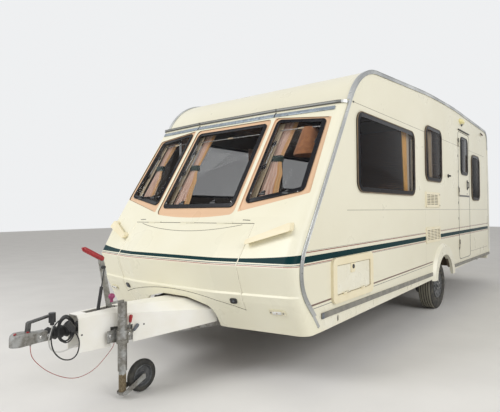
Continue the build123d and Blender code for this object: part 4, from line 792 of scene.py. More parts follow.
def hankPoints(settings):
    count = settings["turns"] * settings["pointsPerTurn"] + settings["extraSteps"]
    middleY, middleZ = settings["centre"]
    halfY, halfZ = settings["halfSpan"]
    points = []
    for index in range(count + 1):
        share = index / count
        turn = index / settings["pointsPerTurn"]
        angle = 2 * pi * turn + settings["startAngle"]
        shrink = 0.96 + 0.05 * sin(2.3 * turn)  # loose turns differ in size
        sway = 0.004 * sin(2.1 * turn + 1)
        lift = 0.006 * cos(1.7 * turn)
        x = settings["firstX"] + (settings["lastX"] - settings["firstX"]) * share
        points.append((x, middleY + sway + halfY * shrink * cos(angle),
                       middleZ + lift + halfZ * shrink * sin(angle)))
    return points


blackPoints = blackLead["tail"] + hankPoints(blackLead) + blackLead["loop"]
blackCord = addCord("blackLead", blackPoints, 0.008, "cord_black")
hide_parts("black_lead_tail", "lead_hank", "black_lead_loop")
measured = blackCord.data.copy()
measured.bevel_depth = 0
lineHolder = bpy.data.objects.new("lineHolder", measured)
lineMesh = bpy.data.meshes.new_from_object(lineHolder)
linePoints = [vertex.co.copy() for vertex in lineMesh.vertices]
blackLength = sum((b - a).length for a, b in zip(linePoints, linePoints[1:]))
bpy.data.objects.remove(lineHolder)
print("black lead", round(blackLength, 3), "m")
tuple(blackPoints[0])
print("cords laid")


# Tyres: four grooves round the tread, a rounded shoulder and a stepped side
tyre = {
    "half": 0.0875,
    "rimRadius": 0.165,
    "radius": 0.295,
    "grooveDepth": 0.009,
    "grooveWidth": 0.010,
    "grooves": (-0.044, -0.015, 0.015, 0.044),
    "steps": 96,
}


def tyreSection(settings):
    half, rim, out = settings["half"], settings["rimRadius"], settings["radius"]
    wall = [(-half + 0.022, rim), (-half + 0.012, rim + 0.012), (-half + 0.003, rim + 0.034),
            (-half, rim + 0.052),
            (-half + 0.0015, rim + 0.056), (-half + 0.0005, rim + 0.074), (-half + 0.004, rim + 0.096),
            (-half + 0.007, out - 0.018), (-half + 0.012, out - 0.008), (-half + 0.020, out - 0.002)]
    tread = []
    for middle in settings["grooves"]:
        near, far = middle - settings["grooveWidth"] / 2, middle + settings["grooveWidth"] / 2
        tread += [(near, out), (near + 0.001, out - settings["grooveDepth"]),
                  (far - 0.001, out - settings["grooveDepth"]), (far, out)]
    return wall + tread + [(-along, away) for along, away in reversed(wall)]


def treadMaterial():
    # Dust lies on the tread's ribs, the grooves are painted darker as shade, and short cuts cross the ribs
    material = rubberMaterial("dustyTreadRubber", (0.035, 0.033, 0.030), 0.75, (0.10, 0.095, 0.075))
    where = axes(material)
    across = sums(material, "SUBTRACT", where["Y"], van["axleY"])
    above = sums(material, "SUBTRACT", where["Z"], van["wheelRadius"])
    out = lengthOf(material, across, above)
    base = shaderOf(material).inputs["Base Color"].links[0].from_socket
    onTread = sums(material, "GREATER_THAN", out, van["wheelRadius"] - 0.004)
    # The grooves get painted shade, darker than the rubber itself
    grooveShadeMask = between(material, out, van["wheelRadius"] - 0.012, van["wheelRadius"] - 0.004)
    dusty = mixColour(material, sums(material, "MULTIPLY", onTread, 0.75), base, (0.30, 0.285, 0.225))
    grooveShaded = mixColour(material, sums(material, "MULTIPLY", grooveShadeMask, 0.8), dusty, (0.012, 0.012, 0.012))
    colourFrom(material, grooveShaded)
    turn = sums(material, "MULTIPLY", sums(material, "ARCTAN2", above, across), 58)
    slant = sums(material, "ADD", turn, sums(material, "MULTIPLY", where["X"], 180))
    cuts = sums(material, "MULTIPLY", sums(material, "GREATER_THAN", sums(material, "SINE", slant), 0.9),
                onTread)
    addBump(material, sums(material, "SUBTRACT", 1.0, cuts), 0.8, 0.003)
    return material


treadRubber = treadMaterial()
for side, sign in bothSides:
    centre = (sign * van["wheelX"], van["axleY"], van["wheelRadius"])
    piece = addSpun(f"tyre_tread_{side}", tyreSection(tyre), centre, (1, 0, 0), tyre["steps"])
    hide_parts(f"tyre_{side}")
    dressed(piece, treadRubber, f"wheel_{side}", smooth=40)
print("tyres made")


# Places on the CAD surfaces, found by looking along a line
def castOn(nodeName, start, direction):
    # Place and normal where the line meets the part, or None where it misses
    hit, place, normal, _ = nodes[nodeName].ray_cast(Vector(start), Vector(direction))
    return (place.copy(), normal.copy()) if hit else None


def landOn(nodeName, start, direction):
    found = castOn(nodeName, start, direction)
    if not found:
        raise RuntimeError(f"the line from {start} misses {nodeName}")
    return found


def frontPlace(x, z):
    # The moulded front or its lid, seen from ahead
    ahead = ((x, -4, z), (0, 1, 0))
    return castOn("gas_locker_lid", *ahead) or landOn("front_panel", *ahead)


glazedFront = {
    "y": -2.261,
    "z": 1.2,
    "rise": 0.6239,  # metres back for each metre up
    "facet": (0.478, 0.647, 0.049),  # where a corner facet starts, its width, how far back it runs
}
outOfFront, upTheFront = (0, -0.85, 0.53), (0, 0.53, 0.85)


def frontSlope(x, z):
    # How far back the glazed part of the front lies at a place
    start, width, back = glazedFront["facet"]
    flat = glazedFront["y"] + (z - glazedFront["z"]) * glazedFront["rise"]
    return flat + max(0.0, (abs(x) - start) / width) * back


def addPlate(name, place, normal, along, size, bevel=0.0, sink=0.001, segments=2):
    # Block of a size (along, across, outwards) that lies on a surface
    clearSelection()
    bpy.ops.mesh.primitive_cube_add(size=1)
    out = Vector(normal).normalized()
    first = (Vector(along) - out * out.dot(Vector(along))).normalized()
    second = out.cross(first)
    turn = Matrix((first * size[0], second * size[1], out * size[2])).transposed().to_4x4()
    turn.translation = Vector(place) + out * (size[2] / 2 - sink)
    bpy.context.object.matrix_world = turn
    piece = takeNew(name)
    if bevel:
        bevelPiece(piece, bevel, segments)
    return piece


def addPad(name, place, normal, along, size, bevel=0.0, sink=0.001):
    # Pad with a rounded outline, of a size (along, across, outwards)
    clearSelection()
    bpy.ops.mesh.primitive_cylinder_add(vertices=40, radius=1, depth=1)
    out = Vector(normal).normalized()
    first = (Vector(along) - out * out.dot(Vector(along))).normalized()
    second = out.cross(first)
    piece = takeNew(name)
    for vertex in piece.data.vertices:
        x, y, z = vertex.co
        x, y = (abs(value) ** 0.55 * (1 if value > 0 else -1) for value in (x, y))
        height = (z + 0.5) * size[2] - sink
        vertex.co = Vector(place) + first * x * size[0] / 2 + second * y * size[1] / 2 + out * height
    outwardNormals(piece)
    if bevel:
        bevelPiece(piece, bevel, 2, 50)
    return piece


def addStud(name, place, normal, radius, height, sides=20, bevel=0.0, endRadius=None, sink=0.002):
    out = Vector(normal).normalized()
    return addRod(name, Vector(place) - out * sink, Vector(place) + out * height, radius, sides, bevel,
                  endRadius)


def copyNode(nodeName, name):
    # A clean copy of a CAD part's mesh to work on
    source = nodes[nodeName]
    piece = source.copy()
    piece.data = source.data.copy()
    piece.name = name
    piece.data.name = name
    piece.hide_render = False
    for key in list(piece.keys()):
        del piece[key]
    piece.parent = None
    bpy.context.scene.collection.objects.link(piece)
    outwardNormals(piece)
    activate(piece)
    bpy.ops.object.mode_set(mode="EDIT")
    bpy.ops.mesh.select_all(action="SELECT")
    bpy.ops.mesh.dissolve_limited(angle_limit=radians(1.5))
    endEdit()
    piece.data.materials.clear()
    return piece


def edgeBead(name, nodeName, test, radius, body, material, shift=(0, 0, 0)):
    # Round bead along the outline of the faces that pass the test
    piece = copyNode(nodeName, name)
    pickFaces(piece, lambda centre, normal: not test(centre, normal))
    bpy.ops.mesh.delete(type="FACE")
    bpy.ops.mesh.select_all(action="SELECT")
    bpy.ops.transform.translate(value=shift)
    endEdit()
    bpy.ops.object.convert(target="CURVE")
    piece = bpy.context.object
    piece.data.bevel_depth = radius
    piece.data.bevel_resolution = 2
    bpy.ops.object.convert(target="MESH")
    piece = bpy.context.object
    piece.name = name
    piece.data.materials.append(material)
    outwardNormals(piece)
    return finishPiece(piece, body, smooth=60)


blackPlastic = finishes["door_furniture"]
brightSteel = mottled("brightSteel", (0.62, 0.62, 0.60), (0.45, 0.45, 0.44), 0.25, 60, metallic=0.9)
sealBrown = mottled("brownWindowSeal", (0.24, 0.17, 0.10), (0.12, 0.085, 0.05), 0.55, 9)
chalkWhite = mottled("paleEndCap", (0.80, 0.79, 0.73), (0.70, 0.69, 0.62), 0.4, 20)

# Windows: the CAD panes with a dark border printed round a clear middle
windowStyle = {
    "border": 0.036,
    "step": 0.004,
    "stepHeight": 0.0025,
    "seal": 0.0048,
}
doorWindowStyle = {**windowStyle, "border": 0.030}
frontWindowStyle = {**windowStyle, "border": 0.026, "seal": 0.0045}
borderBlack = mottled("blackWindowBorder", (0.006, 0.006, 0.009), (0.009, 0.009, 0.012), 0.30, 30)
shaderOf(borderBlack).inputs["Specular IOR Level"].default_value = 0.2


def paneFrom(nodeName, name, body, settings, outward, inward, seal, glass):
    piece = copyNode(nodeName, name)
    piece.data.materials.append(borderBlack)
    piece.data.materials.append(glass)
    for test, rise in ((outward, settings["stepHeight"]), (inward, 0.0)):
        pickFaces(piece, test)
        if rise:
            bpy.ops.mesh.inset(thickness=0.003, depth=0.0015)
        bpy.ops.mesh.inset(thickness=settings["border"])
        if rise:
            bpy.ops.mesh.inset(thickness=settings["step"], depth=rise)
        bpy.context.object.active_material_index = 1
        bpy.ops.object.material_slot_assign()
        endEdit()
    edgeBead(name + "_seal", nodeName, outward, settings["seal"], body, seal)
    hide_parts(nodeName)
    return finishPiece(piece, body, smooth=30)


def facesOut(centre, normal):
    onSide = abs(normal.x) > 0.9 and abs(centre.x) > van["halfWidth"] + 0.004 and normal.x * centre.x > 0
    return onSide or (normal.y > 0.9 and abs(centre.x) < 1.0)


def facesIn(centre, normal):
    return (abs(normal.x) > 0.9 and normal.x * centre.x < 0) or (normal.y < -0.9 and abs(centre.x) < 1.0)


darkGlass = glassMaterial("darkAcrylic", 0.46)
sidePanes = paneFrom("body_windows", "side_window_panes", "caravan", windowStyle, facesOut, facesIn,
                     sealBrown, finishes["window_tint"])
paneFrom("door_window", "door_window_pane", "entrance_door", doorWindowStyle, lambda centre,
         normal: normal.x > 0.9,
         lambda centre, normal: normal.x < -0.9, borderBlack, darkGlass)
paneFrom("front_windows", "front_window_panes", "caravan", frontWindowStyle, lambda centre,
         normal: normal.y < -0.5,
         lambda centre, normal: normal.y > 0.5, borderBlack, finishes["window_tint"])
# The far side's panes are darker
sidePanes.data.materials.append(darkGlass)
for face in sidePanes.data.polygons:
    if face.material_index == 1 and face.center.x < 0:
        face.material_index = 2
print("windows made")


# Curtains, blinds and their rails behind the glass
def eased(rows, share):
    # Values between the rows of a table whose first column is a share from 0 to 1
    for low, high in zip(rows, rows[1:]):
        if share <= high[0]:
            part = (share - low[0]) / (high[0] - low[0])
            part = part * part * (3 - 2 * part)
            return [a + (b - a) * part for a, b in zip(low[1:], high[1:])]
    return list(rows[-1][1:])


def addSheet(name, columns, rows, placeOf, thickness, material):
    clearSelection()
    bpy.ops.mesh.primitive_grid_add(x_subdivisions=columns, y_subdivisions=rows, size=2)
    piece = takeNew(name)
    for vertex in piece.data.vertices:
        vertex.co = placeOf((vertex.co.x + 1) / 2, (vertex.co.y + 1) / 2)
    modifier = piece.modifiers.new("cloth", "SOLIDIFY")
    modifier.thickness = thickness
    modifier.offset = 0
    applyModifiers(piece)
    piece.data.materials.append(material)
    finishPiece(piece, "caravan", smooth=70)
    return piece


def clothWithEdge(name, field, edge, streak, edgeFrom):
    # Cloth with dark woven streaks down its length and a plain edge of another colour
    material = newFinish(name, field, 0.85)
    shaderOf(material).inputs["Sheen Weight"].default_value = 0.3
    tree = material.node_tree
    place = tree.nodes.new("ShaderNodeTexCoord")
    split = tree.nodes.new("ShaderNodeSeparateXYZ")
    tree.links.new(place.outputs["UV"], split.inputs["Vector"])
    stretch = tree.nodes.new("ShaderNodeMapping")
    stretch.inputs["Scale"].default_value = (14, 1.6, 1)
    tree.links.new(place.outputs["UV"], stretch.inputs["Vector"])
    noise = tree.nodes.new("ShaderNodeTexNoise")
    noise.inputs["Scale"].default_value = 1.6
    noise.inputs["Detail"].default_value = 4
    tree.links.new(stretch.outputs["Vector"], noise.inputs["Vector"])
    lines = rampColour(material, noise.outputs["Fac"], [(0.36, streak), (0.44, field)])
    edged = mixColour(material, sums(material, "GREATER_THAN", split.outputs["X"], edgeFrom), lines, edge)
    colourFrom(material, edged)
    addBump(material, noiseValue(material, 900, 2.0), 0.2, 0.0004)
    return material


curtainCloth = {
    "peach": clothWithEdge("peachStreakedCurtain", (0.96, 0.72, 0.60), (0.92, 0.58, 0.28), (0.60, 0.36, 0.28),
                           0.68),
    "mustard": clothWithEdge("mustardCurtain", (0.86, 0.48, 0.11), (0.60, 0.52, 0.42), (0.60, 0.32, 0.08),
                             0.66),
    "tan": clothWithEdge("tanCurtain", (0.46, 0.36, 0.24), (0.30, 0.25, 0.20), (0.28, 0.21, 0.14), 0.70),
}
tieGreen = clothMaterial("darkGreenTie", (0.035, 0.075, 0.06), (0.02, 0.045, 0.04))
blindCloth = clothMaterial("beigePleatedBlind", (0.88, 0.74, 0.52), (0.80, 0.64, 0.42))

frontCurtain = {
    "behind": 0.082,
    "folds": 4.5,
    "foldDepth": 0.013,
    "tieShare": 0.51,
    "tieHeight": 0.058,
    # Columns: share of the height, middle from the pane's edge, half width
    "shape": [(0.0, 0.136, 0.092), (0.28, 0.116, 0.074), (0.49, 0.088, 0.047), (0.53, 0.086, 0.046),
              (0.78, 0.088, 0.058), (1.0, 0.092, 0.066)],
}
frontBlind = {
    "pleat": 0.013,
    "pleatDepth": 0.0045,
    "inset": 0.004,
    "width": 0.052,
    "margin": 0.01,
    "behind": 0.044,
}
# Columns: name, pane's edge x, side on which the pane lies, foot height, head height
paneEdges = [
    ("far", -1.000, 1, 1.395, 1.960),
    ("middle", -0.425, 1, 1.300, 1.985),
    ("near", 0.532, 1, 1.325, 2.000),
]


def frontCurtainPlace(edge, inward, foot, head, settings):
    def placeOf(across, up):
        middle, half = eased(settings["shape"], up)
        x = edge + inward * (middle + (across * 2 - 1) * half)
        z = foot + (head - foot) * up
        phase = 2 * pi * settings["folds"] * across + 0.7 * sin(4 * up + edge * 5)
        deep = settings["foldDepth"] * sin(phase) * (0.55 + 0.45 * abs(up - settings["tieShare"]) * 2)
        return Vector((x, frontSlope(x, z) + settings["behind"] + deep, z))
    return placeOf


for name, edge, inward, foot, head in paneEdges:
    placeOf = frontCurtainPlace(edge, inward, foot, head, frontCurtain)
    at = placeOf(0.5, frontCurtain["tieShare"])
    halfTie = frontCurtain["shape"][3][2] + 0.007
    tie = addPlate("curtain_tie_" + name,
                   (at.x, frontSlope(at.x, at.z) + frontCurtain["behind"] - 0.021, at.z),
                   (0, 1, 0), (1, 0, 0), (halfTie * 2, frontCurtain["tieHeight"], 0.042), 0.012, 0.0, 3)
    dressed(tie, tieGreen, "caravan", smooth=50)
    addSheet("front_curtain_" + name, 72, 34, placeOf, 0.0018, curtainCloth["peach"])
    pleats = int((head - foot) / frontBlind["pleat"])

    def blindPlace(across, up, edge=edge, inward=inward, foot=foot, head=head, pleats=pleats):
        x = edge + inward * (frontBlind["inset"] + frontBlind["width"] * across)
        z = foot + frontBlind["margin"] + (head - foot - 2 * frontBlind["margin"]) * up
        fold = frontBlind["pleatDepth"] * (round(up * pleats * 2) % 2)
        return Vector((x, frontSlope(x, z) + frontBlind["behind"] + fold, z))
    addSheet("front_blind_" + name, 2, pleats * 2, blindPlace, 0.0012, blindCloth)

sideCurtain = {
    "x": 1.075,
    "foldDepth": 0.011,
    "foldLength": 34,
    "drawn": 0.30,
    "drawnFrom": 150,  # a wider curtain is drawn in towards its rear edge as it falls
}
# Columns: name, side, first and last station, foot height, head height, cloth
sideCurtains = [
    ("lounge_front_left", 1, 200, 325, 1.400, 2.085, "peach"),
    ("lounge_rear_left", 1, 1300, 1500, 1.400, 2.085, "mustard"),
    ("lounge_front_right", -1, 200, 325, 1.400, 2.085, "peach"),
    ("lounge_rear_right", -1, 1360, 1500, 1.400, 2.085, "peach"),
    ("kitchen_left", 1, 2130, 2290, 1.620, 2.190, "tan"),
]
for name, sign, first, last, foot, head, cloth in sideCurtains:

    def hangingPlace(across, up, sign=sign, first=first, last=last, foot=foot, head=head):
        pull = sideCurtain["drawn"] * (1 - up) ** 1.5 if last - first > sideCurtain["drawnFrom"] else 0.0
        share = across + pull * (1 - across)
        folds = (last - first) / sideCurtain["foldLength"]
        x = sideCurtain["x"] + sideCurtain["foldDepth"] * sin(2 * pi * folds * across + 0.5 * sin(3 * up))
        return Vector((sign * x, stationY(first + (last - first) * share), foot + (head - foot) * up))
    addSheet("side_curtain_" + name, 80, 24, hangingPlace, 0.0018, curtainCloth[cloth])
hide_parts("curtains")

# Shade of the reading lamp in the front corner, on its arm from the wall
cornerLamp = {
    "x": 0.825,
    "z": 1.700,
    "behind": 0.215,
    "slopeZ": 1.72,
    "armRise": 0.150,
    "wallX": 1.096,
    # Columns: height, radius
    "shade": [(0.0, 0.138), (0.002, 0.142), (0.020, 0.140), (0.230, 0.060), (0.234, 0.056), (0.226, 0.054),
              (0.006, 0.132)],
}
rustCloth = clothMaterial("rustLampShade", (0.62, 0.26, 0.10), (0.46, 0.19, 0.08))
shadeY = frontSlope(cornerLamp["x"], cornerLamp["slopeZ"]) + cornerLamp["behind"]
shadePlace = Vector((cornerLamp["x"], shadeY, cornerLamp["z"]))
lampShade = addSpun("corner_lamp_shade", cornerLamp["shade"], shadePlace, (0, 0, 1), 40)
dressed(lampShade, rustCloth, "caravan", smooth=50)
armZ = shadePlace.z + cornerLamp["armRise"]
armEnds = [Vector((x, shadePlace.y, armZ)) for x in (shadePlace.x, cornerLamp["wallX"])]
arm = addRod("corner_lamp_arm", *armEnds, 0.007, 16)
dressed(arm, brightSteel, "caravan")

# Rails over the curtains, blind bars, stays and catches inside each front pane
paneFittings = {
    "railZ": 2.030,
    "railBehind": 0.082,
    "railOverhang": 0.02,
    "bracketReach": 0.052,
    "barDrop": 0.075,
    "barBehind": 0.046,
    "barInset": 0.03,
    # Columns: height of a stay's end, its shift inwards
    "stayEnds": ((1.60, 0.0), (1.80, 0.012)),
    "stayInset": 0.020,
    "stayBehind": 0.030,
    "catchShares": (0.26, 0.72),
    "glintInset": 0.020,
    "glintRise": 0.030,
}
# Columns: name, first x, last x, foot height, head height
frontPanes = [
    ("far", -1.000, -0.540, 1.352, 2.000),
    ("middle", -0.415, 0.415, 1.290, 1.990),
    ("near", 0.540, 1.000, 1.352, 2.000),
]


def alongFront(first, last, z, behind):
    # The two ends of a level line that lies behind the front panes
    return [Vector((x, frontSlope(x, z) + behind, z)) for x in (first, last)]


for name, first, last, foot, head in frontPanes:
    pieces = []
    overhang = paneFittings["railOverhang"]
    ends = alongFront(first - overhang, last + overhang, paneFittings["railZ"], paneFittings["railBehind"])
    pieces.append(addRod("rail", ends[0], ends[1], 0.006, 12))
    for end in ends:
        pieces.append(addRod("bracket", end, end - Vector((0, paneFittings["bracketReach"], 0)), 0.005, 10))
    dressedGroup("curtain_rail_" + name, pieces, chalkWhite, "caravan")
    inset = paneFittings["barInset"]
    ends = alongFront(first + inset, last - inset, head - paneFittings["barDrop"], paneFittings["barBehind"])
    bar = addRod("blind_bar_" + name, ends[0], ends[1], 0.005, 10)
    dressed(bar, brightSteel, "caravan")
    middle = (ends[0] + ends[1]) / 2
    grip = addPlate("blind_grip_" + name, middle, (0, -1, 0.5), (1, 0, 0), (0.062, 0.014, 0.009), 0.003)
    dressed(grip, blindCloth, "caravan")
    for end, edge, inward in (("a", first, 1), ("b", last, -1)):
        spots = []
        for z, lean in paneFittings["stayEnds"]:
            x = edge + inward * (paneFittings["stayInset"] + lean)
            spots.append(Vector((x, frontSlope(edge, z) + paneFittings["stayBehind"], z)))
        stay = addRod(f"window_stay_{name}_{end}", *spots, 0.0045, 12)
        dressed(stay, brightSteel, "caravan")
        knobs = [addStud("knob", spot, (0, -1, 0.6), 0.016, 0.010, 16, 0.003, sink=0.008) for spot in spots]
        knobs += [addPlate("hook", spot, (0, -1, 0.6), (0.5, 0, 1), (0.062, 0.013, 0.010), 0.003)
                  for spot in spots]
        dressedGroup(f"window_stay_knobs_{name}_{end}", knobs, blackPlastic, "caravan")
    catches = []
    for share in paneFittings["catchShares"]:
        x = first + (last - first) * share
        place = Vector((x, frontSlope(x, foot) + 0.024, foot + 0.020))
        lever = place + Vector((0.012, 0.007, 0.014))
        catches += [addPlate("catch", place, outOfFront, (1, 0, 0), (0.060, 0.020, 0.014), 0.005),
                    addPlate("catch", lever, outOfFront, (1, 0, 0.5), (0.034, 0.014, 0.018), 0.005)]
    dressedGroup("window_catches_" + name, catches, blackPlastic, "caravan")
    # Bright steel studs at each pane's foot stand in for glints: painted highlights on the glass
    glint = []
    inset = paneFittings["glintInset"]
    for place in alongFront(first + inset, last - inset, foot + paneFittings["glintRise"], -0.004):
        glint.append(addStud("cap", place, outOfFront, 0.0045, 0.004, 12, 0.001, sink=0.004))
    dressedGroup("window_bright_caps_" + name, glint, brightSteel, "caravan")
print("curtains and blinds hung")


# Cushions: sewn covers blown up a little by their foam
def striped(name, field, stripe):
    material = newFinish(name, field, 0.85)
    shaderOf(material).inputs["Sheen Weight"].default_value = 0.35
    wave = material.node_tree.nodes.new("ShaderNodeTexWave")
    wave.bands_direction = "Y"
    for socket, value in (("Scale", 1.1), ("Distortion", 3.5), ("Detail", 1.0), ("Detail Scale", 1.4)):
        wave.inputs[socket].default_value = value
    material.node_tree.links.new(objectPlace(material), wave.inputs["Vector"])
    colourFrom(material, rampColour(material, wave.outputs["Fac"], [(0.78, field), (0.84, stripe)]))
    addBump(material, noiseValue(material, 900, 2.0), 0.2, 0.0004)
    return material


cushionCloth = striped("greenCushionWithBeige", (0.13, 0.19, 0.13), (0.50, 0.40, 0.24))
cushion = {
    "voxel": 0.013,
    "mass": 0.25,
    "stiffness": 12,
    "pressure": 4.0,
    "frames": 20,
    "travel": 0.014,
    "seat": ((0.545, -1.985, 0.9155), (0.975, -1.095, 1.034)),
    "back": ((0.983, -1.955, 0.9155), (1.074, -1.095, 1.345)),
    # Columns: axis, limit, side of the limit on which the pad stays
    "seatFlats": [(2, 0.9155, 1), (0, 0.979, -1)],
    "backFlats": [(2, 0.9155, 1), (0, 1.090, -1), (0, 0.9805, 1)],
    "pitch": 0.900,  # from one cushion of a bench to the next
}


def padCushion(name, low, high, settings, flatSides):
    piece = addBlock(name, low, high, 0.016, 3)
    even = piece.modifiers.new("even", "REMESH")
    even.mode = "VOXEL"
    even.voxel_size = settings["voxel"]
    applyModifiers(piece)
    before = [vertex.co.copy() for vertex in piece.data.vertices]
    activate(piece)
    pad = piece.modifiers.new("pad", "CLOTH")
    pad.settings.quality = 4
    pad.settings.mass = settings["mass"]
    pad.settings.tension_stiffness = settings["stiffness"]
    pad.settings.compression_stiffness = settings["stiffness"]
    pad.settings.use_pressure = True
    pad.settings.uniform_pressure_force = settings["pressure"]
    pad.settings.effector_weights.gravity = 0
    for step in range(1, settings["frames"] + 1):
        bpy.context.scene.frame_set(step)
    applyModifiers(piece)
    bpy.context.scene.frame_set(1)
    for vertex, rest in zip(piece.data.vertices, before):
        moved = vertex.co - rest
        if moved.length > settings["travel"]:
            vertex.co = rest + moved * (settings["travel"] / moved.length)
    for vertex in piece.data.vertices:
        for axis, limit, sign in flatSides:
            if (vertex.co[axis] - limit) * sign < 0:
                vertex.co[axis] = limit
    return piece


pads = []
for kind in ("seat", "back"):
    first = padCushion(f"bench_{kind}_cushion_left_1", *cushion[kind], cushion, cushion[kind + "Flats"])
    pads.append(first)
    for side, sign in bothSides:
        for place in (1, 2):
            if (side, place) == ("left", 1):
                continue
            copied = first.copy()
            copied.data = first.data.copy()
            copied.name = f"bench_{kind}_cushion_{side}_{place}"
            bpy.context.scene.collection.objects.link(copied)
            for vertex in copied.data.vertices:
                vertex.co = (vertex.co.x * sign, vertex.co.y + cushion["pitch"] * (place - 1), vertex.co.z)
            pads.append(copied)
for pad in pads:
    outwardNormals(pad)
    dressed(pad, cushionCloth, "caravan", smooth=50)
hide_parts("seat_cushions")
print("cushions padded")

# Wheel trims: a dished cover with slots round its rim, a round hub cap and the wheel bolts
trim = {
    "outer": 1.050,
    "radius": 0.163,
    "slots": 12,
    "slotPlace": 0.128,
    "slotSize": (0.040, 0.016),
    "bolts": 5,
    "boltCircle": 0.049,
}
trimGrey = mottled("darkGreyTrim", (0.10, 0.105, 0.11), (0.05, 0.052, 0.055), 0.35, 40, metallic=0.25,
                   coat=0.15)


def wheelTrim(side, sign, settings):
    centre = Vector((sign * settings["outer"], van["axleY"], van["wheelRadius"]))
    rim = settings["radius"]
    section = [(-0.010, rim), (0.003, rim - 0.002), (0.006, rim - 0.010), (0.002, rim - 0.018),
               (0.004, 0.108),
               (-0.004, 0.088), (-0.004, 0.070), (0.004, 0.062), (0.004, 0.001), (0.0, 0.001), (0.0, 0.060),
               (-0.008, 0.068), (-0.008, 0.090), (0.0, 0.110), (-0.002, rim - 0.018), (-0.010, rim - 0.006)]
    cover = addSpun(f"wheel_trim_{side}", section, centre, (sign, 0, 0), 72)
    cutters = []
    for index in range(settings["slots"]):
        angle = 2 * pi * index / settings["slots"]
        away = Vector((0, cos(angle), sin(angle)))
        cutters.append(addPlate("slotCutter", centre + away * settings["slotPlace"], (sign, 0, 0), away,
                                (*settings["slotSize"], 0.05), 0.007, 0.025, 3))
    cutter = joinPieces("slotCutters", cutters)
    modifier = cover.modifiers.new("slots", "BOOLEAN")
    modifier.operation = "DIFFERENCE"
    modifier.solver = "EXACT"
    modifier.object = cutter
    applyModifiers(cover)
    bpy.data.objects.remove(cutter)
    dressed(cover, trimGrey, f"wheel_{side}", smooth=40)
    hub = addStud(f"wheel_hub_cap_{side}", centre, (sign, 0, 0), 0.034, 0.016, 32, 0.006, 0.028)
    dressed(hub, trimGrey, f"wheel_{side}")
    studs = []
    for index in range(settings["bolts"]):
        angle = 2 * pi * index / settings["bolts"] + 0.3
        away = Vector((0, cos(angle), sin(angle)))
        studs.append(addStud("bolt", centre + away * settings["boltCircle"], (sign, 0, 0), 0.0105, 0.015, 6,
                             0.002))
    dressedGroup(f"wheel_bolts_{side}", studs, brightSteel, f"wheel_{side}")


for side, sign in bothSides:
    wheelTrim(side, sign, trim)
print("wheel trims made")

redPlastic = mottled("redPlastic", (0.42, 0.018, 0.022), (0.30, 0.012, 0.016), 0.32, 30, coat=0.2)
pinkPlastic = mottled("fadedPinkKnob", (0.34, 0.055, 0.16), (0.24, 0.035, 0.10), 0.42, 30)
greyPlastic = mottled("greyPlastic", (0.16, 0.18, 0.21), (0.10, 0.11, 0.13), 0.45, 30)
creamPlastic = mottled("agedCreamPlastic", (0.88, 0.80, 0.58), (0.84, 0.75, 0.52), 0.38, 5, grain=0.05)
redLens = mottled("redLens", (0.35, 0.01, 0.012), (0.25, 0.006, 0.008), 0.12, 60, coat=0.6)
amberLens = mottled("amberLens", (0.60, 0.19, 0.01), (0.48, 0.13, 0.008), 0.12, 60, coat=0.6)
clearLens = mottled("frostedClearLens", (0.82, 0.82, 0.80), (0.70, 0.70, 0.68), 0.14, 60, coat=0.6)
greySeal = mottled("greyRubberSeal", (0.20, 0.20, 0.19), (0.13, 0.13, 0.125), 0.55, 30)
# Near-black: the dark joints between rails and the pillar screws in their own colour, and painted shade in
# the lid's hinge slots
darkGap = newFinish("darkGap", (0.02, 0.019, 0.017), 0.8)
# Tan colour of painted shade in the gap round the locker flap
tanGap = newFinish("tanGap", (0.42, 0.36, 0.24), 0.7)


# Front: head rails over the windows, gutter joints, hinge slots, locks, marker lamps
front = {
    "pillars": (-0.478, 0.478),
    "gutterZ": 2.123,
    # Columns: first and last x of each head rail
    "headRails": [(-1.052, -0.483), (-0.473, 0.473), (0.483, 1.052)],
    "headZ": 2.070,
    # Columns: first and last x of each hinge slot at the lid's head
    "hingeSlots": [(-0.662, -0.581), (0.585, 0.655)],
    "hingeZ": 1.176,
    "locks": [(0.627, 0.603), (-0.627, 0.603)],
    "lockSize": (0.060, 0.044, 0.009),
    "marker": (0.955, 0.541),
}
# Silver head rails tinted blue-grey: a painted reflection of the sky
railPaintedSkyBlue = mottled("blueGreyRail", (0.33, 0.38, 0.43), (0.22, 0.26, 0.30), 0.28, 14, metallic=0.55)
headRails = []
for first, last in front["headRails"]:
    ends = alongFront(first, last, front["headZ"], -0.002)
    run = ends[1] - ends[0]
    out = run.cross(Vector(upTheFront)).normalized()
    size = (run.length, 0.036, 0.010)
    headRails.append(addPlate("headRail", (ends[0] + ends[1]) / 2, out, run, size, 0.003, 0.004, 3))
dressedGroup("front_window_head_rail", headRails, railPaintedSkyBlue, "caravan")
gaps = []
for x in front["pillars"]:
    place = Vector((x, frontSlope(x, front["headZ"]), front["headZ"]))
    gaps.append(addPlate("railJoint", place, outOfFront, upTheFront, (0.040, 0.009, 0.012), 0.002, 0.004))
    place, normal = landOn("awning_rails", (x, -4, front["gutterZ"]), (0, 1, 0))
    gaps.append(addPlate("gutterJoint", place, normal, (0, 0, 1), (0.020, 0.009, 0.003), 0.001))
    place, normal = landOn("front_panel", (x, -4, front["gutterZ"] - 0.028), (0, 1, 0))
    gaps.append(addStud("pillarScrew", place, normal, 0.007, 0.004, 14, 0.0015))
for low, high in front["hingeSlots"]:
    place, normal = frontPlace((low + high) / 2, front["hingeZ"])
    gaps.append(addPlate("hingeSlot", place, normal, (1, 0, 0), (high - low, 0.005, 0.0022)))
dressedGroup("front_joints_and_hinge_slots", gaps, darkGap, "caravan")
rings, barrels = [], []
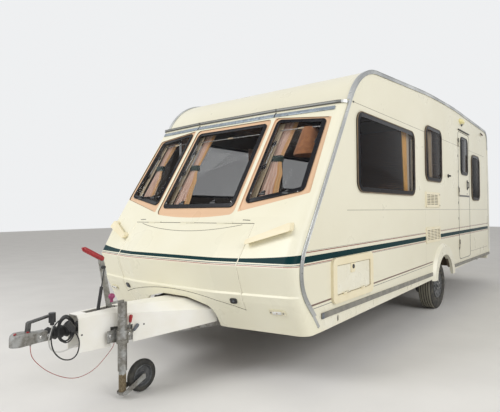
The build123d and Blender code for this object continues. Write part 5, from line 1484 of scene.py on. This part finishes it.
for x, z in front["locks"]:
    place, normal = frontPlace(x, z)
    rings.append(addPad("lockRing", place, normal, (1, 0, 0), front["lockSize"], 0.003))
    barrels.append(addStud("lockBarrel", place + normal * 0.007, normal, 0.0085, 0.004, 20, 0.0015))
    barrels.append(addPlate("keySlot", place + normal * 0.0115, normal, (0, 0, 1), (0.010, 0.0022, 0.0012)))
dressedGroup("gas_lid_locks", rings, blackPlastic, "gas_locker_lid")
dressedGroup("gas_lid_lock_barrels", barrels, greyPlastic, "gas_locker_lid")
lenses, screws, bulbs = [], [], []
for sign in (1, -1):
    x, z = front["marker"]
    place, normal = landOn("lamps", (sign * x, -4, z), (0, 1, 0))
    lenses.append(addPlate("markerLens", place, normal, (1, 0, 0), (0.070, 0.022, 0.005), 0.002))
    bulbs.append(addStud("markerBulb", place + normal * 0.003, normal, 0.0055, 0.003, 14, 0.001))
    for shift in (-0.048, 0.048):
        place, normal = landOn("lamps", (sign * x + shift, -4, z), (0, 1, 0))
        screws.append(addStud("markerScrew", place, normal, 0.0055, 0.002, 14, 0.0006))
dressedGroup("front_marker_lenses", lenses, clearLens, "caravan")
dressedGroup("front_marker_screws", screws, greySeal, "caravan")
tanBulb = mottled("tanBulb", (0.42, 0.33, 0.24), (0.32, 0.24, 0.17), 0.3, 60)
dressedGroup("front_marker_bulbs", bulbs, tanBulb, "caravan")
print("front fittings made")

# Raised joint along each side of the lid, pale where it crosses the green band
lidJoint = {
    "footZ": 0.478,
    "stepZ": 0.0176,
    "steps": 40,
    "outerX": 0.750,  # the search for the lid's edge starts here and goes inwards by millimetres
    "reaches": 180,
    "radius": 0.0042,
    "leastFacing": 0.15,  # how squarely a face has to look ahead to count as the lid's front
}
for name, sign in bothSides:
    lidEdge = []
    for step in range(lidJoint["steps"]):
        z = lidJoint["footZ"] + step * lidJoint["stepZ"]
        for reach in range(lidJoint["reaches"]):
            x = lidJoint["outerX"] - reach * 0.001
            found = castOn("gas_locker_lid", (sign * x, -4, z), (0, 1, 0))
            if found and abs(found[1].y) > lidJoint["leastFacing"]:
                lidEdge.append(found[0])
                break
    activate(newLine("lidJoint", "POLY", lidEdge, lidJoint["radius"], 2))
    bpy.ops.object.convert(target="MESH")
    joint = bpy.context.object
    joint.name = "gas_lid_joint_" + name
    outwardNormals(joint)
    paleJoint = mottled("paleJoint", (0.90, 0.87, 0.72), (0.86, 0.82, 0.66), 0.4, 8)
    dressed(joint, paleJoint, "gas_locker_lid", 60)

# Foot of the rail on each front corner, carried on to the skin's lower edge
railFoot = {
    "outerX": 1.11,
    "frontY": -1.5,  # the rail's corners lie beyond these two
    "run": (0, 0.60, -0.80),
    "lowestZ": 0.412,
    "width": 0.024,
    "thickness": 0.009,
}
for name, sign in bothSides:
    ends = [vertex.co for vertex in nodes["awning_rails"].data.vertices
            if vertex.co.x * sign > railFoot["outerX"] and vertex.co.y < railFoot["frontY"]]
    foot = min(ends, key=lambda co: co.z)
    reach = max(abs(co.x) for co in ends)
    start = Vector((sign * (reach - 0.0055), foot.y + 0.004, foot.z + 0.012))
    run = Vector(railFoot["run"])
    length = (start.z - railFoot["lowestZ"]) / -railFoot["run"][2]
    place = start + run * length / 2 - Vector((sign * 0.004, 0, 0))
    size = (length, railFoot["width"], railFoot["thickness"])
    tail = addPlate("front_rail_foot_" + name, place, (sign, 0, 0), run, size, 0.003, 0.0, 3)
    dressed(tail, finishes["rail_aluminium"], "caravan")
print("lid joints and rail feet made")

# Side with the door
sideTable = {
    "hinges": (0.700, 0.900, 1.120, 1.340, 1.560, 1.780, 2.000, 2.220),
    "hingeStation": 3302,
    "dripCap": (3610, 2.378),
    "waistTrim": (3610, 1.440),
    "doorLock": (3775, 1.475),
    "retainer": (2800, 1.686),
    "awning": (3498, 2.491),
    "marker": (4736, 2.493),
    "vents": ((1.295, 1.425), 2376),
    "lockerTab": (45, 0.785),
    "stripCap": (-412, 0.485),
    "seamCap": (118, 2.139),
    "rearStrip": (5180, 1.38),
}


def sidePlace(station, z, nodeName="side_wall_left", sign=1):
    return landOn(nodeName, (sign * 2, stationY(station), z), (-sign, 0, 0))


nodes["locker_frame"].data.materials[0] = creamPlastic
nodes["grab_handles"].data.materials[0] = creamPlastic
nodes["grey_plug"].data.materials[0] = blackPlastic
nodes["strut_rod"].data.materials[0] = blackPlastic
# A tan bead round the flap's outline: painted shade in the gap between flap and frame
edgeBead("locker_flap_gap", "locker_flap", lambda centre, normal: normal.x > 0.9, 0.0022, "locker_flap",
         tanGap)
edgeBead("awning_rail_beads", "awning_rails", lambda centre,
         normal: abs(normal.x) > 0.9 and abs(centre.x) > 1.129, 0.0032, "caravan",
         finishes["rail_aluminium"])
hingeMarks = []
for z in sideTable["hinges"]:
    hingeMarks.append(addPlate("doorHingeMark", *sidePlace(sideTable["hingeStation"] - 10, z), (0, 0, 1),
                               (0.034, 0.017, 0.007), 0.003))
dressedGroup("door_hinge_marks", hingeMarks, greySeal, "caravan")
edgeBead("door_edge_seal", "entrance_door", lambda centre, normal: normal.x > 0.9 and centre.x > 1.10, 0.0035,
         "entrance_door",
         greySeal)
dripPlace, dripNormal = sidePlace(*sideTable["dripCap"])
drip = addPlate("door_drip_cap", dripPlace, dripNormal, (0, 1, 0), (0.600, 0.018, 0.018), 0.006, segments=3)
dressed(drip, blackPlastic, "caravan")
place, normal = sidePlace(*sideTable["waistTrim"], "entrance_door")
doorTrim = addPlate("door_waist_trim", place, normal, (0, 1, 0), (0.570, 0.024, 0.006), 0.0025)
dressed(doorTrim, greySeal, "entrance_door")
place, normal = sidePlace(*sideTable["doorLock"], "entrance_door")
barrel = addStud("door_lock_barrel", place, normal, 0.011, 0.006, 20, 0.002)
dressed(barrel, brightSteel, "entrance_door")
place, normal = sidePlace(*sideTable["retainer"])
hookPlace = place + normal * 0.020 + Vector((0, 0.022, 0))
retainer = [addStud("retainerFoot", place, normal, 0.024, 0.010, 28, 0.003),
            addStud("retainerStem", place, normal, 0.012, 0.024, 20, 0.003),
            addPlate("retainerHook", hookPlace, normal, (0, 1, 0), (0.050, 0.022, 0.010), 0.004)]
dressedGroup("door_retainer", retainer, blackPlastic, "caravan")
station, z = sideTable["awning"]
place, normal = sidePlace(station, z + 0.012)
clearSelection()
bpy.ops.mesh.primitive_uv_sphere_add(segments=40, ring_count=20, radius=1, scale=(0.040, 0.120, 0.044),
                                     location=place + Vector((0.006, 0, 0.010)))
dome = takeNew("awning_lamp_dome")
yellowedLens = mottled("yellowedLampLens", (0.90, 0.82, 0.42), (0.86, 0.76, 0.34), 0.25, 12, coat=0.2)
dressed(dome, yellowedLens, "caravan", 60)
base = [addPlate("awningLampFoot", sidePlace(station, z - 0.018)[0], normal, (0, 1, 0), (0.060, 0.020, 0.024),
                 0.006),
        addPlate("awningLampSwitch", sidePlace(station + 4, z - 0.034)[0], normal, (0, 1, 0),
                 (0.030, 0.018, 0.016), 0.005)]
dressedGroup("awning_lamp_foot", base, greyPlastic, "caravan")
for name, sign in bothSides:
    station, z = sideTable["marker"]
    place, normal = sidePlace(station, z, "lamps", sign)
    foot = addPlate("side_marker_foot_" + name, place, normal, (0, 1, 0), (0.076, 0.050, 0.010), 0.004)
    dressed(foot, blackPlastic, "caravan")
    place.x += sign * 0.009
    lens = addPlate("side_marker_lens_" + name, place, normal, (0, 1, 0), (0.044, 0.030, 0.007), 0.003)
    dressed(lens, redLens, "caravan")
catchHeights, catchStation = sideTable["vents"]
catchMarks = [addPlate("ventCatch", *sidePlace(catchStation, z, "fridge_vents"), (0, 0, 1),
                       (0.016, 0.007, 0.005), 0.002) for z in catchHeights]
dressedGroup("vent_catches", catchMarks, greySeal, "caravan")
stripCaps = []
station, z = sideTable["stripCap"]
for sign in (1, -1):
    place, normal = sidePlace(station, z, "bumper_strips", sign)
    stripCaps.append(addPlate("stripCap", place, normal, (0, 1, 0), (0.030, 0.042, 0.004), 0.002))
dressedGroup("rubbing_strip_caps", stripCaps, greyPlastic, "caravan")
seamCap = addPlate("upper_seam_end_cap", *sidePlace(*sideTable["seamCap"]), (0, 1, 0), (0.022, 0.013, 0.006),
                   0.003)
dressed(seamCap, blackPlastic, "caravan")
cornerStrips = []
station, z = sideTable["rearStrip"]
for side, sign in bothSides:
    place, normal = sidePlace(station, z, "side_wall_" + side, sign)
    cornerStrips.append(addPlate("rearCornerStrip", place, normal, (0, 0, 1), (1.640, 0.044, 0.005), 0.002))
dressedGroup("rear_corner_strips", cornerStrips, chalkWhite, "caravan")
station, z = sideTable["lockerTab"]
place, normal = sidePlace(station, z, "locker_flap")
tab = addPlate("locker_lock_tab", place, normal, (0, 0, 1), (0.074, 0.066, 0.009), 0.004, segments=3)
dressed(tab, creamPlastic, "locker_flap")
lockPlace = place + Vector((0, 0, 0.010))
lock = addStud("lockerLock", lockPlace + normal * 0.007, normal, 0.0175, 0.006, 28, 0.002)
dressed(lock, blackPlastic, "locker_flap")
keySlot = addPlate("locker_lock_key_slot", lockPlace + normal * 0.013, normal, (0, 1, 0),
                   (0.012, 0.0026, 0.0014))
dressed(keySlot, brightSteel, "locker_flap")
print("side fittings made")

# Rear: lamp colours, reflectors, a blank plate and its lamp
rearTable = {
    "lampX": 0.937,
    "lampZ": 0.705,
    "reflectorX": 0.640,
    "plateZ": 0.800,
    "plateLampZ": 0.885,
    # Columns: shift from the lamp's middle outwards, width, colour
    "fields": [(0.070, 0.064, redLens), (0.000, 0.064, amberLens), (-0.070, 0.064, clearLens)],
}


def rearPlace(x, z, nodeName="rear_panel"):
    return landOn(nodeName, (x, 4.5, z), (0, -1, 0))


for index, (shift, width, material) in enumerate(rearTable["fields"]):
    fields = []
    for sign in (1, -1):
        place, normal = rearPlace(sign * (rearTable["lampX"] + shift), rearTable["lampZ"], "lamps")
        fields.append(addPlate("rearField", place, normal, (1, 0, 0), (width, 0.112, 0.006), 0.003))
    dressedGroup(f"rear_lamp_fields_{index + 1}", fields, material, "caravan")
reflectors = []
for sign in (1, -1):
    place, normal = rearPlace(sign * rearTable["reflectorX"], rearTable["lampZ"])
    reflectors.append(addStud("reflector", place, normal, 0.080, 0.006, 3, 0.0015))
dressedGroup("rear_reflectors", reflectors, redLens, "caravan")
place, normal = rearPlace(0, rearTable["plateZ"])
plate = addPlate("blank_number_plate", place, normal, (1, 0, 0), (0.520, 0.112, 0.004), 0.0015)
dressed(plate, chalkWhite, "caravan")
lampPlace, _ = rearPlace(0, rearTable["plateLampZ"])
plateLamp = addPlate("number_plate_lamp", lampPlace, normal, (1, 0, 0), (0.120, 0.026, 0.028), 0.008)
dressed(plateLamp, blackPlastic, "caravan")
print("rear fittings made")

# Drawbar: grips, knob, bolts, strain reliefs and the jockey wheel's tyre
drawbar = {
    "leverTip": (-3.0683, 0.9331),
    "gripTilt": 150,
    "jockeyX": 0.156,
    "jockeyY": -3.005,
    # Columns: name, foot and tip of a clamp lever (y, z), swelling of its grip, finish
    "clampGrips": [("red", (-2.953, 0.440), (-2.938, 0.540), 0.0125, redPlastic),
                   ("grey", (-2.953, 0.392), (-2.883, 0.466), 0.0125, greyPlastic)],
    "crankReach": 0.080,
    "crankTop": 0.654,
    "couplingBolts": (-3.478, -3.430),
    "couplingBoltZ": 0.497,
    "clampBolts": (-3.072, -2.960),
    "clampBoltZ": 0.420,
    # Columns: x, y
    "redButtons": ((0.0, -3.606), (0.022, -3.545)),
    # Columns: x, z
    "reliefs": ((0.040, 0.430), (0.050, 0.480)),
    "fairingScrews": (-3.24, -2.84),
    "fairingScrewZ": 0.46,
}
tip = Vector((0, drawbar["leverTip"][0] - 0.052, drawbar["leverTip"][1] + 0.030))
along = Vector((0, cos(radians(drawbar["gripTilt"])), sin(radians(drawbar["gripTilt"]))))
gripSection = [(-0.080, 0.0145), (-0.076, 0.0164)]
for rib in range(9):
    start = -0.070 + rib * 0.0155
    gripSection += [(start, 0.0178), (start + 0.009, 0.0178), (start + 0.0115, 0.0165),
                    (start + 0.0145, 0.0165)]
gripSection += [(0.074, 0.0172), (0.082, 0.0130), (0.082, 0.001), (-0.080, 0.001)]
grip = addSpun("handbrake_grip", gripSection, tip, along, 28)
dressed(grip, redPlastic, "handbrake_lever")
buttonFoot = tip + along * 0.080
button = addRod("handbrake_button", buttonFoot, buttonFoot + along * 0.014, 0.0065, 16, 0.002)
dressed(button, redPlastic, "handbrake_lever")
for name, foot, end, swell, material in drawbar["clampGrips"]:
    foot, end = Vector((drawbar["jockeyX"], *foot)), Vector((drawbar["jockeyX"], *end))
    run = (end - foot).normalized()
    section = [(-0.050, 0.0055), (-0.048, 0.0085), (-0.030, 0.0105), (-0.012, swell), (-0.002, swell - 0.001),
               (0.003, swell - 0.005), (0.003, 0.001), (-0.050, 0.001)]
    dressed(addSpun(f"jockey_clamp_grip_{name}", section, end, run, 24), material, "caravan",
            60)
knobFoot = Vector((drawbar["jockeyX"], drawbar["jockeyY"] - drawbar["crankReach"], drawbar["crankTop"]))
knobSection = [(0.001, 0.001), (0.001, 0.0105), (0.008, 0.0095), (0.018, 0.0090), (0.022, 0.0130),
               (0.026, 0.0180),
               (0.034, 0.0208), (0.042, 0.0205), (0.050, 0.0170), (0.055, 0.0110), (0.0572, 0.001)]
dressed(addSpun("jockey_crank_knob", knobSection, knobFoot, (0, 0, 1), 32), pinkPlastic, "caravan",
        60)
nodes["jockey_inner_tube"].data.materials[0] = rustyMaterial()

low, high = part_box("jockey_wheel")
centre = (Vector(low) + Vector(high)) / 2
tyreRing = [(-0.018, 0.071), (-0.022, 0.078), (-0.0235, 0.090), (-0.020, 0.1015), (-0.012, 0.1075),
            (-0.004, 0.1098),
            (0.004, 0.1098), (0.012, 0.1075), (0.020, 0.1015), (0.0235, 0.090), (0.022, 0.078),
            (0.018, 0.071)]
jockeyTyre = addSpun("jockey_wheel_tyre", tyreRing, centre, (1, 0, 0), 64)
dressed(jockeyTyre, finishes["tyre_rubber"], "jockey_wheel", 40)
hubSection = [(-0.020, 0.0735), (-0.0215, 0.070), (-0.015, 0.064), (-0.008, 0.060), (-0.008, 0.026),
              (-0.023, 0.021), (-0.023, 0.0065),
              (0.023, 0.0065), (0.023, 0.021), (0.008, 0.026), (0.008, 0.060), (0.015, 0.064),
              (0.0215, 0.070), (0.020, 0.0735)]
dressed(addSpun("jockey_wheel_hub", hubSection, centre, (1, 0, 0), 64), trimGrey, "jockey_wheel",
        40)
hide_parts("jockey_wheel")

boltSpots = []
for y in drawbar["couplingBolts"]:
    for sign in (1, -1):
        place, normal = landOn("coupling_head", (sign, y, drawbar["couplingBoltZ"]), (-sign, 0, 0))
        boltSpots.append(addStud("couplingBolt", place, normal, 0.0115, 0.009, 6, 0.002))
for y in drawbar["clampBolts"]:
    place, normal = landOn("jockey_clamp", (1, y, drawbar["clampBoltZ"]), (-1, 0, 0))
    boltSpots.append(addStud("clampBolt", place, normal, 0.012, 0.010, 6, 0.002))
dressedGroup("coupling_and_clamp_bolts", boltSpots, brightSteel, "caravan")
redBits = []
for x, y in drawbar["redButtons"]:
    place, normal = landOn("coupling_head", (x, y, 1), (0, 0, -1))
    redBits.append(addStud("redButton", place, normal, 0.0085, 0.007, 18, 0.003))
dressedGroup("coupling_red_buttons", redBits, redPlastic, "caravan")
reliefs = [addRod("relief", (x, -3.082, z), (x, -3.122, z), 0.0085, 20, 0.0, 0.0052)
           for x, z in drawbar["reliefs"]]
dressedGroup("lead_strain_reliefs", reliefs, blackPlastic, "caravan")
screws = []
for y in drawbar["fairingScrews"]:
    place, normal = landOn("drawbar_fairing", (1, y, drawbar["fairingScrewZ"]), (-1, 0, 0))
    for sign in (1, -1):
        screws.append(addStud("fairingScrew", Vector((sign * place.x, place.y, place.z)),
                              Vector((sign * normal.x, normal.y, normal.z)), 0.006, 0.003, 14, 0.001))
dressedGroup("fairing_screws", screws, greySeal, "caravan")
print("drawbar fittings made")

# Ribs along each rooflight's lid
rooflight = {
    "stations": (950, 3150),
    "ribX": (-0.10, 0.0, 0.10),
    "ribSize": (0.300, 0.012, 0.007),
}
for index, station in enumerate(rooflight["stations"]):
    place, normal = landOn("rooflights", (0, stationY(station), 4), (0, 0, -1))
    ribs = [addPlate("rib", Vector((x, place.y, place.z)), normal, (0, 1, 0), rooflight["ribSize"], 0.003)
            for x in rooflight["ribX"]]
    dressedGroup(f"rooflight_ribs_{index + 1}", ribs, chalkWhite, "caravan")
print("roof fittings made")

# Studio floor and soft light
studio = {
    "floorSize": 60,
    "floorColour": (0.80, 0.79, 0.77),
    "worldLight": 0.50,
    "background": (0.86, 0.87, 0.88),
}


def addStudio(settings):
    clearSelection()
    bpy.ops.mesh.primitive_plane_add(size=settings["floorSize"], location=(0, 0, -0.0005))
    floor = takeNew("studioFloor")
    shade = tuple(c * 0.96 for c in settings["floorColour"])
    paint = mottled("paleFloor", settings["floorColour"], shade, 0.85, 2.0)
    floor.data.materials.append(paint)
    world = bpy.data.worlds.new("softStudio")
    bpy.context.scene.world = world
    world.use_nodes = True
    tree = world.node_tree
    tree.nodes.clear()
    out = tree.nodes.new("ShaderNodeOutputWorld")
    soft = tree.nodes.new("ShaderNodeBackground")
    soft.inputs["Color"].default_value = (1.0, 0.985, 0.96, 1)
    soft.inputs["Strength"].default_value = settings["worldLight"]
    seen = tree.nodes.new("ShaderNodeBackground")
    seen.inputs["Color"].default_value = (*settings["background"], 1)
    path = tree.nodes.new("ShaderNodeLightPath")
    both = tree.nodes.new("ShaderNodeMath")
    both.operation = "MAXIMUM"
    three = tree.nodes.new("ShaderNodeMath")
    three.operation = "MAXIMUM"
    mix = tree.nodes.new("ShaderNodeMixShader")
    tree.links.new(path.outputs["Is Camera Ray"], both.inputs[0])
    tree.links.new(path.outputs["Is Glossy Ray"], both.inputs[1])
    tree.links.new(both.outputs["Value"], three.inputs[0])
    tree.links.new(path.outputs["Is Transmission Ray"], three.inputs[1])
    tree.links.new(three.outputs["Value"], mix.inputs["Fac"])
    tree.links.new(soft.outputs["Background"], mix.inputs[1])
    tree.links.new(seen.outputs["Background"], mix.inputs[2])
    tree.links.new(mix.outputs["Shader"], out.inputs["Surface"])
    # Columns: name, place, aimed at, size, power
    for name, place, target, size, power in (
        ("keyPanel", (-3.5, -8.5, 6.5), (0, -1.0, 1.2), 4.5, 420),
        ("sidePanel", (8.5, -2.5, 5.0), (0.5, 1.0, 1.2), 5.0, 330),
    ):
        bpy.ops.object.light_add(type="AREA", location=place)
        lamp = bpy.context.object
        lamp.name = name
        lamp.data.size = size
        lamp.data.energy = power
        lamp.rotation_euler = (Vector(target) - Vector(place)).to_track_quat("-Z", "Y").to_euler()


addStudio(studio)
bpy.context.scene.view_settings.view_transform = "Standard"
print("studio set")
